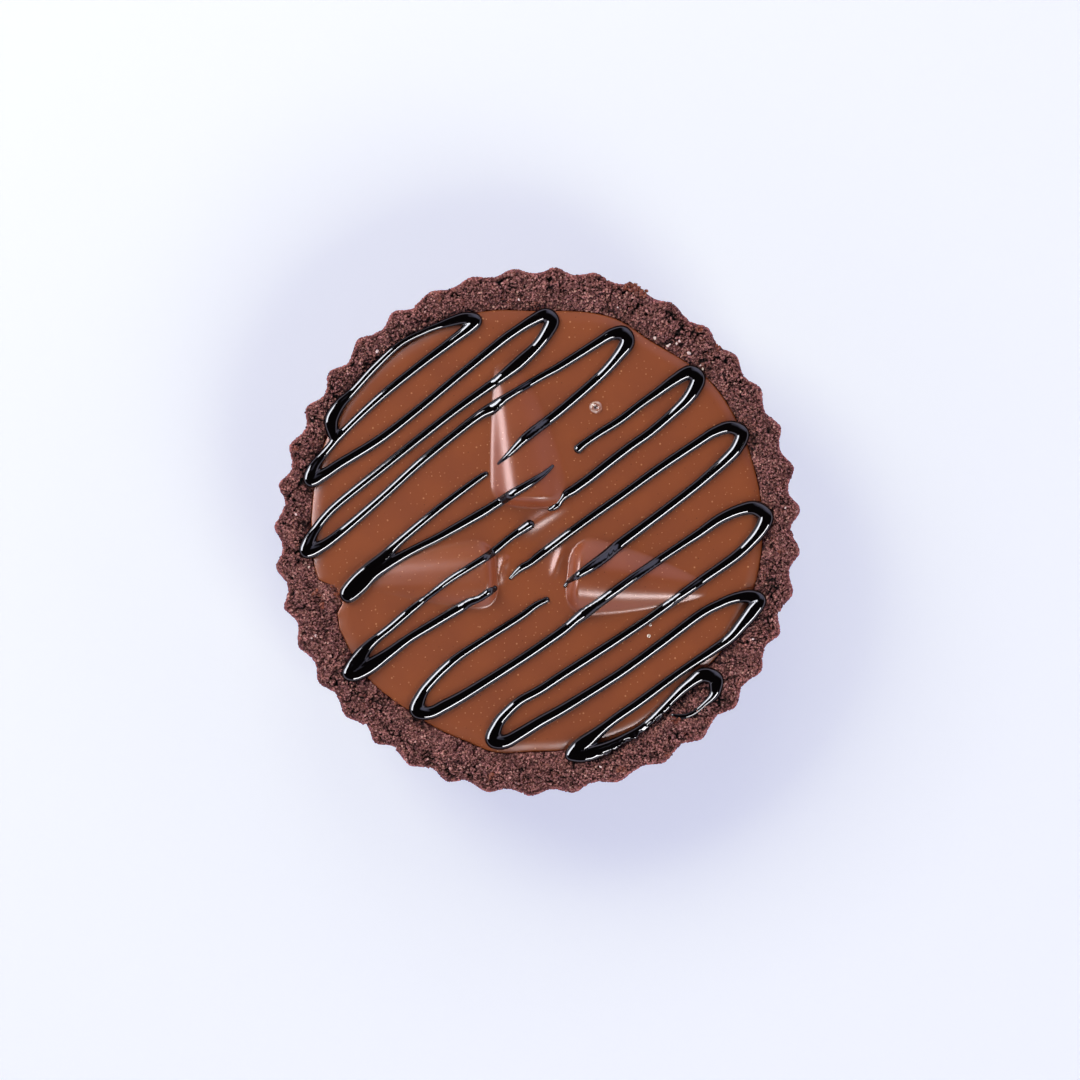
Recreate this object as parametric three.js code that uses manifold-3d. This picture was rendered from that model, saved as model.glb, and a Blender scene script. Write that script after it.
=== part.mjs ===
// Chocolate tartlet: a fluted shortcrust case, a milk chocolate ganache set with three soft
// raised swooshes round its middle, and a thick syrup drizzled to and fro over both.
// Millimetres, +Z up, origin under the middle of the tartlet on the plane that it stands on.

import * as THREE from 'three';
import { mergeVertices } from 'three/addons/utils/BufferGeometryUtils.js';
import Module from 'manifold-3d';

// Case: the size of a 10 cm fluted tartlet tin.
const RIM_DIAMETER = 100.6;      // over the tips of the flutes, at the rim
const BASE_DIAMETER = 90;
const CASE_HEIGHT = 20;
const CASE_FLOOR = 4;            // thickness of the crust under the ganache
const HOLLOW_BASE_RADIUS = 39;   // of the hollow at its floor
const HOLLOW_SLOPE_TOP = 16;     // its side leans out up to this height, and is upright above
const BASE_ROUNDING = 0.9;
const OVAL = 0.45;               // the baked case is this much out of round
const OVAL_ANGLE = 65;           // degrees, the direction of its long axis
// How far else the case is out of round: [angle in degrees, millimetres].
const OUT_OF_ROUND = [[0, 0.35], [75, -0.1], [105, -0.3], [135, 0.1], [225, 0.2], [285, -0.05],
  [315, 0.7], [345, 0.4]];

// Flutes: narrow rounded tips with broad scallops between them.
const FLUTES = 39;
const FLUTE_DEPTH = 1.35;
const FLUTE_DEPTH_AT_BASE = 1.1;
const FLUTE_TIP = 0.6;           // 0 is a sharp tip, 1 a plain wave
const FLUTE_UNEVEN = 0.2;        // share by which one flute is deeper or shallower than the next
// How deep the flutes have stayed round the case: [angle in degrees, share].
const FLUTE_SWELL = [[0, 1.25], [45, 0.9], [105, 0.8], [135, 1.05], [200, 1.15], [255, 0.9], [320, 0.95]];
const FLUTE_START = 4.5;         // degrees, the first tip
const COLUMNS_PER_FLUTE = 6;
const EDGE_COLUMNS = 3 * FLUTES; // round the line where crust and ganache meet
// How far the tips have crept round as the dough shrank: [angle, shift], degrees.
const FLUTE_CREEP = [[0, 0.2], [35, 0.3], [52, -0.8], [88, -1.6], [125, -1.2], [142, -0.2],
  [180, -0.9], [215, -2], [258, -3.8], [280, -3.4], [300, -1], [322, 0.3]];

// Rim: its crown is crumbly and slopes down inside to the ganache.
const RIM_SHOULDER = 1.5;        // drop of the outer edge below the crown
const RIM_SLOPE = 1.5;           // drop of the inner edge below the crown
const RIM_CROWN = 0.3;           // where the crown ends, as a share of the rim's width
const RIM_SHOULDER_SHARE = 0.06; // how far in the outer edge is rounded, as a share of the width
const CRAG_HEIGHT = 0.42;
const CRAG_SIZE = 1.9;
// Rings of the rim's top: [share of its width from the outside, columns for each flute].
const RIM_RINGS = [[0.09, 6], [0.26, 4], [0.44, 4], [0.62, 4], [0.8, 3], [1.1, 3]];

// The line where ganache meets crust: [angle in degrees, radius].
const GANACHE_EDGE = [[0, 43.1], [14, 43.2], [38, 43.8], [59, 42.3], [70, 43.2], [90, 42], [106, 43.2],
  [120, 43.4], [146, 44.4], [158, 43.9], [176, 43.2], [188, 43.1], [192, 42.8], [196, 39.8], [200, 39.6],
  [203, 41.4], [207, 42.1], [220, 42.8], [236, 42.1], [250, 42.3], [259, 43], [270, 42.1], [296, 42.7],
  [318, 41.6], [338, 42.8]];

// Ganache: its level is a little below the crown, and its edge rounds down to the crust.
const GANACHE_LEVEL = CASE_HEIGHT - 1;
const EDGE_ROUNDING = 2.6;
// How far the ganache drops at its edge: [angle in degrees, millimetres].
const EDGE_DROP = [[0, 0.8], [60, 0.6], [100, 0.4], [185, 0.4], [198, 0.12], [212, 0.4], [230, 0.4],
  [260, 0.75], [300, 0.85]];
const SURFACE_RINGS = 17;        // of its top, from the edge to the middle
const SURFACE_COLUMNS = 96;      // of the outermost of them
const JOINT_GAP = 0.3;           // between crust and ganache

// Swooshes: each rises steeply at its inner end and fades out along its length. left and right are
// its flanks, seen along it: width at the end, width at the tip, how late it narrows. skew is how
// far its inner end stands off square.
const SWOOSHES = [
  {
    end: [-1.9, 4.6], tip: [-6.6, 32], left: [6.9, 1.7, 1.3], right: [8.8, 3.6, 2], height: 3.2,
    fade: 1, skew: 0.22,
  },
  {
    end: [-7.6, -8.6], tip: [-31.5, -9.6], left: [6.8, 2, 1.4], right: [7.6, 2.4, 1.8], height: 2.5,
    fade: 1.3, skew: 0,
  },
  {
    end: [5.9, -8.7], tip: [32.5, -11.6], left: [8.4, 2, 1.6], right: [7.6, 0.9, 1.6], height: 3.5,
    fade: 1.1, skew: 0,
  },
];
const SWOOSH_END = 2.2;          // length of the steep inner end
const SWOOSH_BLUNT = 3.6;        // how far the inner end falls back at its sides

// Syrup: one bead, laid to and fro. Its width swells where it turns back.
const BEAD_WIDTH = 1.65;
const BEAD_TURN_WIDTH = 2.9;
const BEAD_TURN_LENGTH = 3.4;
const BEAD_POOL_WIDTH = 3.7;     // where two strokes run together at a turn
const BEAD_POOL_LENGTH = 5.5;
const BEAD_DROP_WIDTH = 2.4;     // where a stroke starts with a drop
const BEAD_THIN_WIDTH = 0.6;     // where a stroke runs out
const BEAD_RUN_OUT = 5;
const BEAD_HEIGHT = 0.46;        // as a share of its width
const BEAD_TOP = 0.26;           // half of its nearly flat top, as a share of its width
const BEAD_BOTTOM = 0.56;        // half of its width at its feet
const BEAD_KEEL = 1.2;           // how deep the bead is rooted in what it lies on
const BEAD_FOOT = 0.35;          // how deep its sides reach
const BEAD_STEP = 0.8;           // between the places where a section may stand
const BEAD_TOLERANCE = 0.13;     // sections are left out where the bead stays this true
const BEAD_CLEARANCE = 0.1;      // of the bead from the edge of the ganache or crust it lies on
// Each stroke: what its two ends are, and the points that it passes through.
const STROKES = [
  ['drop', 'turn', [-38.7, 19], [-39.2, 22.1], [-35.6, 26.1], [-30.9, 31.2], [-23.8, 37.1],
    [-16.6, 39.8], [-12, 40.6]],
  ['turn', 'turn', [-12, 40.6], [-15, 37.3], [-26.1, 28.8], [-36.6, 19.2], [-41, 14.3], [-43, 10.3]],
  ['turn', 'turn', [-43, 10.3], [-39.4, 11], [-29.9, 17.5], [-14.7, 29.7], [-3.2, 38.7], [1.9, 41.1]],
  ['turn', 'turn', [1.9, 41.1], [1.9, 38.1], [-3.2, 32.4], [-10.9, 26.5], [-26.1, 14.7], [-39, 4.2],
    [-43.6, -3.6]],
  ['turn', 'turn', [-43.6, -3.6], [-40.2, -2.7], [-33.7, 2.9], [-18.5, 16], [-7, 24.6], [4.4, 31.4],
    [12.6, 36.6], [16.4, 37.3]],
  ['turn', 'thin', [16.4, 37.3], [16, 33.7], [8.2, 26.1], [-1.3, 18.5], [-7.4, 12.8]],
  ['plain', 'pool', [-9.7, 10.9], [-18.5, 4.4], [-29, -4.8], [-35.7, -11.8]],
  ['pool', 'thin', [-35.7, -11.8], [-30.7, -7.8], [-22.3, -3], [-10.9, 3.2], [-1.3, 9.1], [3.2, 12.6]],
  ['drop', 'turn', [7.6, 15.8], [15.8, 21.1], [25.7, 28.4], [30.5, 29.5]],
  ['turn', 'thin', [30.5, 29.5], [29.1, 25.7], [21.5, 18.9], [10.1, 10.1], [4.6, 6.1]],
  ['drop', 'turn', [-1.3, 1.3], [-7, -2.9], [-16.6, -9.3], [-28, -18.5], [-33.7, -23.4],
    [-36.6, -27.4]],
  ['turn', 'plain', [-36.6, -27.4], [-31, -24.8], [-20.4, -18.1], [-12.8, -13.5], [-8, -10.7]],
  ['thin', 'turn', [-5.1, -9], [0.6, -4.8], [12, 3.8], [27.2, 14.7], [35.2, 19.2], [39.4, 18.7]],
  ['turn', 'thin', [39.4, 18.7], [38.1, 15.6], [31, 9.1], [15.8, -2.5], [10.5, -6.7], [5.3, -10.5]],
  ['plain', 'turn', [1.9, -13.1], [-7, -18.9], [-15.6, -24.6], [-20.4, -29.1], [-23, -34.3]],
  ['turn', 'turn', [-23, -34.3], [-17.3, -33.3], [-7, -27], [8.2, -16.4], [19.6, -8], [31, -0.4],
    [38.3, 3.8], [43.6, 2.9]],
  ['turn', 'turn', [43.6, 2.9], [42.3, -0.8], [34.9, -7], [19.6, -17.9], [0.6, -30.3], [-5.5, -34.7],
    [-8.6, -40]],
  ['turn', 'turn', [-8.6, -40], [-2.9, -38.5], [8.2, -32], [23.4, -21.7], [33, -14.9], [38.7, -12.6],
    [42.7, -13.1]],
  ['turn', 'turn', [42.7, -13.1], [40.4, -16.4], [33.9, -22.5], [19.6, -32.6], [12, -38.1],
    [6.9, -42.5]],
  ['turn', 'turn', [6.9, -42.5], [13, -40.8], [20.6, -37], [25.7, -32.4], [30.5, -27.4], [33.5, -27.6]],
  ['turn', 'plain', [33.5, -27.6], [34.1, -30.3], [31, -33.5], [28, -35.2]],
];

const wasm = await Module();
wasm.setup();

const radians = THREE.MathUtils.degToRad;
const smooth = (t) => THREE.MathUtils.smoothstep(t, 0, 1);

// A repeatable number from 0 to 1 for whole numbers i and j.
function chance(i, j) {
  const s = Math.sin(i * 127.1 + j * 311.7 + 17.3) * 43758.5453;
  return s - Math.floor(s);
}

// Uneven ground from -1 to 1, with lumps of about the given size.
function lumps(x, y, size) {
  const i = Math.floor(x / size);
  const j = Math.floor(y / size);
  const u = smooth(x / size - i);
  const v = smooth(y / size - j);
  const near = THREE.MathUtils.lerp(chance(i, j), chance(i + 1, j), u);
  const far = THREE.MathUtils.lerp(chance(i, j + 1), chance(i + 1, j + 1), u);
  return 2 * THREE.MathUtils.lerp(near, far, v) - 1;
}

// The value at an angle of a closed curve given as [degrees, value] pairs.
function aroundCircle(pairs, angle) {
  const degrees = THREE.MathUtils.euclideanModulo(THREE.MathUtils.radToDeg(angle), 360);
  const after = pairs.findIndex(([at]) => at > degrees);
  const [from, to] = after < 0
    ? [pairs.at(-1), [360, pairs[0][1]]]
    : [pairs[after - 1], pairs[after]];
  return THREE.MathUtils.lerp(from[1], to[1], smooth((degrees - from[0]) / (to[0] - from[0])));
}

// ---- shapes of the case ----

// Radius of the fluted outside at a height: level 0 is the base, 1 the rim.
function outerRadius(angle, level) {
  const turns = (THREE.MathUtils.radToDeg(angle) - FLUTE_START - aroundCircle(FLUTE_CREEP, angle)) / 360;
  const phase = turns * FLUTES;
  const flute = THREE.MathUtils.euclideanModulo(Math.round(phase), FLUTES);
  const depth = THREE.MathUtils.lerp(FLUTE_DEPTH_AT_BASE, FLUTE_DEPTH, level)
    * aroundCircle(FLUTE_SWELL, angle) * (1 + FLUTE_UNEVEN * (2 * chance(flute, 3) - 1));
  const wave = Math.hypot(Math.sin(Math.PI * phase), FLUTE_TIP) - FLUTE_TIP;
  const inward = depth * wave / (Math.hypot(1, FLUTE_TIP) - FLUTE_TIP);
  const mean = THREE.MathUtils.lerp(BASE_DIAMETER, RIM_DIAMETER, level) / 2;
  const oval = OVAL * Math.cos(2 * (angle - radians(OVAL_ANGLE)));
  return mean + oval + aroundCircle(OUT_OF_ROUND, angle) - inward;
}

const edgeRadius = (angle) => aroundCircle(GANACHE_EDGE, angle);

// Height of the rim's top: share 0 is its outer edge, 1 the ganache.
function rimHeight(share) {
  const shoulder = RIM_SHOULDER * Math.exp(-Math.max(share, 0) / RIM_SHOULDER_SHARE);
  const slope = RIM_SLOPE * Math.max(0, (Math.min(share, 1) - RIM_CROWN) / (1 - RIM_CROWN)) ** 2;
  return CASE_HEIGHT - shoulder - slope;
}

// ---- shapes of the ganache ----

function swooshHeight(swoosh, x, y) {
  const along = new THREE.Vector2(swoosh.tip[0] - swoosh.end[0], swoosh.tip[1] - swoosh.end[1]);
  const length = along.length();
  along.normalize();
  const from = new THREE.Vector2(x - swoosh.end[0], y - swoosh.end[1]);
  const run = from.dot(along);
  const aside = along.cross(from);
  const share = THREE.MathUtils.clamp(run / length, 0, 1);
  const [endWidth, tipWidth, taper] = aside > 0 ? swoosh.left : swoosh.right;
  const width = THREE.MathUtils.lerp(endWidth, tipWidth, share ** taper);
  const off = Math.min(1, Math.abs(aside) / width);
  const fromEnd = run - swoosh.skew * aside - SWOOSH_BLUNT * off ** 4;
  const climb = THREE.MathUtils.clamp(fromEnd / SWOOSH_END, 0, 1);
  const rise = 1 - (1 - climb) ** 2;
  return swoosh.height * (1 - off ** 3) ** 2 * (1 - share ** swoosh.fade) * rise;
}

// Height of the swooshes over the level of the ganache, where they run into each other too.
const raised = (x, y) => Math.hypot(...SWOOSHES.map((swoosh) => swooshHeight(swoosh, x, y)));

function ganacheHeight(x, y) {
  const angle = Math.atan2(y, x);
  const inside = Math.max(0, edgeRadius(angle) - Math.hypot(x, y));
  const drop = aroundCircle(EDGE_DROP, angle) * Math.max(0, 1 - inside / EDGE_ROUNDING) ** 2;
  return GANACHE_LEVEL - drop + raised(x, y);
}

// What the syrup lies on: ganache, crust, and a smooth bridge over the groove between them.
function syrupGround(x, y) {
  const angle = Math.atan2(y, x);
  const radius = Math.hypot(x, y);
  const edge = edgeRadius(angle);
  const share = (outerRadius(angle, 1) - radius) / (outerRadius(angle, 1) - edge);
  const onto = smooth((radius - edge + EDGE_ROUNDING) / (2 * EDGE_ROUNDING));
  const flat = GANACHE_LEVEL + raised(x, y);
  return THREE.MathUtils.lerp(flat, Math.max(rimHeight(share), GANACHE_LEVEL - 0.2), onto);
}

// ---- closed meshes ----

// A closed skin over rings of points, from a point on the axis through the rings to another.
// Neighbouring rings may have different numbers of points.
function ringSkin(firstHeight, rings, lastHeight) {
  const positions = [0, 0, firstHeight];
  const starts = rings.map((ring) => {
    const start = positions.length / 3;
    ring.forEach((point) => positions.push(...point));
    return start;
  });
  positions.push(0, 0, lastHeight);
  const last = positions.length / 3 - 1;
  const faces = [];
  const fan = (pole, start, count, outward) => {
    for (let i = 0; i < count; i += 1) {
      const a = start + i;
      const b = start + (i + 1) % count;
      faces.push(...(outward ? [pole, a, b] : [pole, b, a]));
    }
  };
  fan(0, starts[0], rings[0].length, false);
  for (let k = 0; k + 1 < rings.length; k += 1) {
    const low = rings[k].length;
    const high = rings[k + 1].length;
    let i = 0;
    let j = 0;
    while (i < low || j < high) {
      const a = starts[k] + i % low;
      const b = starts[k + 1] + j % high;
      if (j === high || (i < low && (i + 1) / low <= (j + 1) / high)) {
        i += 1;
        faces.push(a, starts[k] + i % low, b);
      } else {
        j += 1;
        faces.push(a, starts[k + 1] + j % high, b);
      }
    }
  }
  fan(last, starts.at(-1), rings.at(-1).length, true);
  const geometry = new THREE.BufferGeometry();
  geometry.setAttribute('position', new THREE.Float32BufferAttribute(positions, 3));
  geometry.setIndex(faces);
  return geometry;
}

// One ring: count points, with radius and height given by functions of the angle.
function ring(count, radiusAt, heightAt) {
  return Array.from({ length: count }, (_, i) => {
    const angle = (i / count) * 2 * Math.PI;
    const radius = radiusAt(angle);
    const x = radius * Math.cos(angle);
    const y = radius * Math.sin(angle);
    return [x, y, heightAt(x, y, angle)];
  });
}

const toSolid = (geometry) => new wasm.Manifold(new wasm.Mesh({
  numProp: 3,
  vertProperties: new Float32Array(geometry.attributes.position.array),
  triVerts: new Uint32Array(geometry.index.array),
}));

function toGeometry(solid) {
  const mesh = solid.getMesh();
  const geometry = new THREE.BufferGeometry();
  geometry.setAttribute('position', new THREE.BufferAttribute(mesh.vertProperties, 3));
  geometry.setIndex(new THREE.BufferAttribute(mesh.triVerts, 1));
  return geometry;
}

// The largest of the pieces that a cut leaves.
function withoutScraps(solid) {
  const pieces = solid.decompose();
  return pieces.reduce((best, piece) => (piece.volume() > best.volume() ? piece : best));
}

// The lower rings of the hollow's side, drawn in or out by an offset.
function hollowSide(offset) {
  return [
    ring(FLUTES, () => HOLLOW_BASE_RADIUS + offset, () => CASE_FLOOR - offset),
    ring(EDGE_COLUMNS, (angle) => edgeRadius(angle) + offset, () => HOLLOW_SLOPE_TOP),
  ];
}

// ---- crust ----

function crustBody() {
  const columns = FLUTES * COLUMNS_PER_FLUTE;
  const wall = (level, height, inset) => ring(
    columns,
    (angle) => outerRadius(angle, level) - inset,
    () => height,
  );
  const rim = ([share, perFlute]) => ring(
    FLUTES * perFlute,
    (angle) => {
      const rough = 0.5 * CRAG_HEIGHT * lumps(RIM_DIAMETER / 2 * angle, share * RIM_DIAMETER, CRAG_SIZE);
      return THREE.MathUtils.lerp(outerRadius(angle, 1), edgeRadius(angle), share) + rough;
    },
    (x, y) => rimHeight(share) + CRAG_HEIGHT * (1 - share ** 3) * lumps(x, y, CRAG_SIZE),
  );
  const rings = [
    wall(0, 0, BASE_ROUNDING),
    wall(BASE_ROUNDING / CASE_HEIGHT, BASE_ROUNDING, 0),
    wall(1, CASE_HEIGHT - RIM_SHOULDER, 0),
    ...RIM_RINGS.map(rim),
  ];
  return toSolid(ringSkin(0, rings, rimHeight(1)));
}

function hollow() {
  const offset = JOINT_GAP / 2;
  const top = ring(EDGE_COLUMNS, (angle) => edgeRadius(angle) + offset, () => 2 * CASE_HEIGHT);
  return toSolid(ringSkin(CASE_FLOOR - offset, [...hollowSide(offset), top], 2 * CASE_HEIGHT));
}

// ---- ganache ----

function ganacheBody() {
  const offset = -JOINT_GAP / 2;
  const edge = (angle) => edgeRadius(angle) + offset;
  const rings = [
    ...hollowSide(offset),
    ring(EDGE_COLUMNS, edge, ganacheHeight),
    ring(EDGE_COLUMNS, (angle) => edge(angle) - 0.3 * EDGE_ROUNDING, ganacheHeight),
    ring(SURFACE_COLUMNS, (angle) => edge(angle) - EDGE_ROUNDING, ganacheHeight),
  ];
  for (let k = SURFACE_RINGS - 1; k > 0; k -= 1) {
    const share = k / SURFACE_RINGS;
    const count = Math.max(8, Math.round(share * SURFACE_COLUMNS));
    rings.push(ring(count, (angle) => share * (edge(angle) - EDGE_ROUNDING), ganacheHeight));
  }
  return toSolid(ringSkin(CASE_FLOOR - offset, rings, ganacheHeight(0, 0)));
}

// ---- syrup ----

function beadWidth(kind, distance) {
  const swell = (width, reach) => (width - BEAD_WIDTH) * Math.exp(-((distance / reach) ** 2));
  if (kind === 'turn') return swell(BEAD_TURN_WIDTH, BEAD_TURN_LENGTH);
  if (kind === 'pool') return swell(BEAD_POOL_WIDTH, BEAD_POOL_LENGTH);
  if (kind === 'drop') return swell(BEAD_DROP_WIDTH, BEAD_TURN_LENGTH / 2);
  if (kind === 'thin') return (BEAD_THIN_WIDTH - BEAD_WIDTH) * (1 - smooth(distance / BEAD_RUN_OUT));
  return 0;
}

// The places along a stroke that its form needs, of many equally spaced ones. Each place is
// [x, y, ground height, width], and one that lies on the line between its neighbours is left out.
function neededPlaces(places) {
  const straight = (from, to) => {
    for (let i = from + 1; i < to; i += 1) {
      const share = (i - from) / (to - from);
      const off = places[i].map(
        (value, k) => Math.abs(value - THREE.MathUtils.lerp(places[from][k], places[to][k], share)),
      );
      if (Math.hypot(off[0], off[1]) > BEAD_TOLERANCE) return false;
      if (Math.max(off[2], off[3]) > BEAD_TOLERANCE) return false;
    }
    return true;
  };
  const kept = [0];
  for (let next = 2; next < places.length; next += 1) {
    if (!straight(kept.at(-1), next)) kept.push(next - 1);
  }
  kept.push(places.length - 1);
  return kept;
}

// One stroke of syrup: a low rounded bead along a curve, rooted in the ground under it.
function bead([startKind, endKind, ...points]) {
  const curve = new THREE.CatmullRomCurve3(
    points.map(([x, y]) => new THREE.Vector3(x, y, 0)), false, 'centripetal',
  );
  const length = curve.getLength();
  const steps = Math.ceil(length / BEAD_STEP);
  const places = curve.getSpacedPoints(steps).map(({ x, y }, i) => {
    const run = (i / steps) * length;
    const width = BEAD_WIDTH + beadWidth(startKind, run) + beadWidth(endKind, length - run);
    return [x, y, syrupGround(x, y), width];
  });
  const sections = [];
  const section = (place, tangent, shift, share) => {
    const width = share * place[3];
    const height = BEAD_HEIGHT * width;
    const centre = new THREE.Vector2(place[0], place[1]).addScaledVector(tangent, shift);
    const at = (across, rise) => {
      const x = centre.x + tangent.y * across * width;
      const y = centre.y - tangent.x * across * width;
      return [x, y, syrupGround(x, y) + rise];
    };
    sections.push([
      at(-BEAD_BOTTOM, -BEAD_FOOT),
      at(-BEAD_TOP, height),
      at(BEAD_TOP, height),
      at(BEAD_BOTTOM, -BEAD_FOOT),
      at(0, -BEAD_KEEL),
    ]);
  };
  const kept = neededPlaces(places);
  for (const i of kept) {
    const tangent = curve.getTangentAt(i / steps);
    const nose = 0.4 * places[i][3];
    if (i === 0) section(places[i], tangent, -nose, 0.55);
    section(places[i], tangent, 0, 1);
    if (i === steps) section(places[i], tangent, nose, 0.55);
  }
  return sectionSkin(sections);
}

// A closed skin over equal sections, with both ends capped.
function sectionSkin(sections) {
  const sides = sections[0].length;
  const faces = [];
  for (let k = 0; k + 1 < sections.length; k += 1) {
    for (let i = 0; i < sides; i += 1) {
      const a = k * sides + i;
      const b = k * sides + (i + 1) % sides;
      faces.push(a, b, a + sides, b, b + sides, a + sides);
    }
  }
  const last = (sections.length - 1) * sides;
  for (let i = 1; i + 1 < sides; i += 1) {
    faces.push(0, i + 1, i, last, last + i, last + i + 1);
  }
  const geometry = new THREE.BufferGeometry();
  geometry.setAttribute('position', new THREE.Float32BufferAttribute(sections.flat(2), 3));
  geometry.setIndex(faces);
  return geometry;
}

// The space over the ganache, drawn in or out from its edge, which parts the syrup in two.
function overGanache(offset) {
  const outline = (height) => ring(EDGE_COLUMNS, (angle) => edgeRadius(angle) + offset, () => height);
  return toSolid(ringSkin(0, [outline(0), outline(2 * CASE_HEIGHT)], 2 * CASE_HEIGHT));
}

// ---- the tartlet ----

const syrup = wasm.Manifold.union(STROKES.map((stroke) => toSolid(bead(stroke))));
const syrupInside = syrup.intersect(overGanache(-JOINT_GAP / 2 - BEAD_CLEARANCE));
const syrupOutside = syrup.subtract(overGanache(JOINT_GAP / 2 + BEAD_CLEARANCE));

const crustMaterial = new THREE.MeshStandardMaterial({ color: 0x634342, roughness: 0.9, metalness: 0 });
const ganacheMaterial = new THREE.MeshStandardMaterial({ color: 0x884b35, roughness: 0.35, metalness: 0 });

const crust = new THREE.Mesh(
  toGeometry(withoutScraps(crustBody().subtract(hollow()).add(syrupOutside))), crustMaterial,
);
crust.name = 'crust';

const filling = new THREE.Mesh(
  toGeometry(withoutScraps(ganacheBody().add(syrupInside))), ganacheMaterial,
);
filling.name = 'filling';

// Stand the tartlet over the middle of its own outline.
const tartlet = new THREE.Group();
tartlet.add(crust, filling);
const middle = new THREE.Box3().setFromObject(tartlet).getCenter(new THREE.Vector3());
tartlet.position.set(-middle.x, -middle.y, 0);

for (const mesh of [crust, filling]) {
  mesh.geometry = mergeVertices(mesh.geometry, 1e-3);
  mesh.geometry.computeVertexNormals();
}

export default tartlet;
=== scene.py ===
import math

import bpy
import numpy as np
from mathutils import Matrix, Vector


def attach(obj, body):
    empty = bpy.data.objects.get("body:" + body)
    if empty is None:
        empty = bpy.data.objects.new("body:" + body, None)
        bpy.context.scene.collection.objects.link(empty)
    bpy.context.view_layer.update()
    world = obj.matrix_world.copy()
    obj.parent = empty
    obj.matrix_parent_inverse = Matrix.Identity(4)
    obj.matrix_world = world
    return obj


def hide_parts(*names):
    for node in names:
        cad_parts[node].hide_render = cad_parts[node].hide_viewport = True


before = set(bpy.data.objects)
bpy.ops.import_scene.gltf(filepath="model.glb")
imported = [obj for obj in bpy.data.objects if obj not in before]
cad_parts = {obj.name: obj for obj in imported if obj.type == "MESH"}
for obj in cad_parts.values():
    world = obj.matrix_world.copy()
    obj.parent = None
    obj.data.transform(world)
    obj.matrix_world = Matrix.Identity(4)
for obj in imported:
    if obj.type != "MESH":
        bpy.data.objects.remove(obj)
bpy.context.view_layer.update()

MM = 0.001


# ---- camera ----
# The tartlet is looked at from straight above, a little off its middle, with a long lens, so that
# only its top shows.
VIEW_WIDTH = 205.7 * MM          # what the frame spans at the height of the rim
VIEW_CENTRE = (0.57 * MM, -1.71 * MM)
RIM_TOP = 20 * MM
CAMERA_DISTANCE = 1.0            # above the rim

camera_data = bpy.data.cameras.new("camera")
camera_data.sensor_width = 36
camera_data.lens = camera_data.sensor_width * CAMERA_DISTANCE / VIEW_WIDTH
camera = bpy.data.objects.new("camera", camera_data)
camera.location = (*VIEW_CENTRE, RIM_TOP + CAMERA_DISTANCE)
bpy.context.scene.collection.objects.link(camera)
bpy.context.scene.camera = camera


# ---- floor ----
# A matt white studio table, faintly lit from below, which the tartlet stands on.
FLOOR_SIDE = 6.0
FLOOR_WHITE = "CBCBCD"
FLOOR_GLOW = (0.31, 0.335, 0.54)  # bluish, so that the shadows are too


def linear(colour):
    """An sRGB hex colour as linear RGBA."""
    parts = [int(colour[i:i + 2], 16) / 255 for i in (0, 2, 4)]
    return [p / 12.92 if p <= 0.04045 else ((p + 0.055) / 1.055) ** 2.4 for p in parts] + [1]


def add(tree, kind, inputs=None, **settings):
    """Adds a node with its settings, and sets or links its inputs: a node stands for its output."""
    made = tree.nodes.new(kind)
    for name, value in settings.items():
        setattr(made, name, value)
    for socket, value in (inputs or {}).items():
        if isinstance(value, bpy.types.Node):
            value = next(out for out in value.outputs if out.enabled)
        if isinstance(value, bpy.types.NodeSocket):
            tree.links.new(value, made.inputs[socket])
        else:
            made.inputs[socket].default_value = value
    return made


def new_material(name):
    """An empty material: its node tree and its output node."""
    material = bpy.data.materials.new(name)
    material.use_nodes = True
    material.node_tree.nodes.clear()
    return material, material.node_tree, material.node_tree.nodes.new("ShaderNodeOutputMaterial")


table_white, tree, output = new_material("matt_white_table")
shader = add(tree, "ShaderNodeBsdfPrincipled", {
    "Base Color": linear(FLOOR_WHITE), "Roughness": 0.9, "Specular IOR Level": 0.2,
    "Emission Color": [*FLOOR_GLOW, 1], "Emission Strength": 1.0})
tree.links.new(shader.outputs[0], output.inputs[0])

floor_mesh = bpy.data.meshes.new("floor")
corner = FLOOR_SIDE / 2
floor_mesh.from_pydata(
    [(-corner, -corner, 0), (corner, -corner, 0), (corner, corner, 0), (-corner, corner, 0)],
    [], [(0, 1, 2, 3)])
floor_mesh.materials.append(table_white)
floor = bpy.data.objects.new("floor", floor_mesh)
bpy.context.scene.collection.objects.link(floor)


# ---- crust ----
# A case of cocoa shortcrust, pressed into a fluted tartlet tin and baked blind. Its crown is
# crumbly and cracked, slopes down inside to the ganache, and is redder on the outer edge.
RIM_DIAMETER = 100.6             # millimetres, over the tips of the flutes
BASE_DIAMETER = 90
CASE_HEIGHT = 20
CASE_FLOOR = 4
HOLLOW_BASE_RADIUS = 39
HOLLOW_SLOPE_TOP = 16
BASE_ROUNDING = 0.9
OVAL = 0.45
OVAL_ANGLE = 65                  # degrees
# How far else the case is out of round: [angle in degrees, millimetres].
OUT_OF_ROUND = [[0, 0.35], [75, -0.1], [105, -0.3], [135, 0.1], [225, 0.2], [285, -0.05], [315, 0.7],
                [345, 0.4]]
FLUTES = 39
FLUTE_DEPTH = 1.35
FLUTE_DEPTH_AT_BASE = 1.1
FLUTE_TIP = 0.6                  # 0 is a sharp tip, 1 a plain wave
FLUTE_UNEVEN = 0.2
# How deep the flutes have stayed round the case: [angle in degrees, share].
FLUTE_SWELL = [[0, 1.25], [45, 0.9], [105, 0.8], [135, 1.05], [200, 1.15], [255, 0.9], [320, 0.95]]
FLUTE_START = 4.5                # degrees, the first tip
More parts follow.
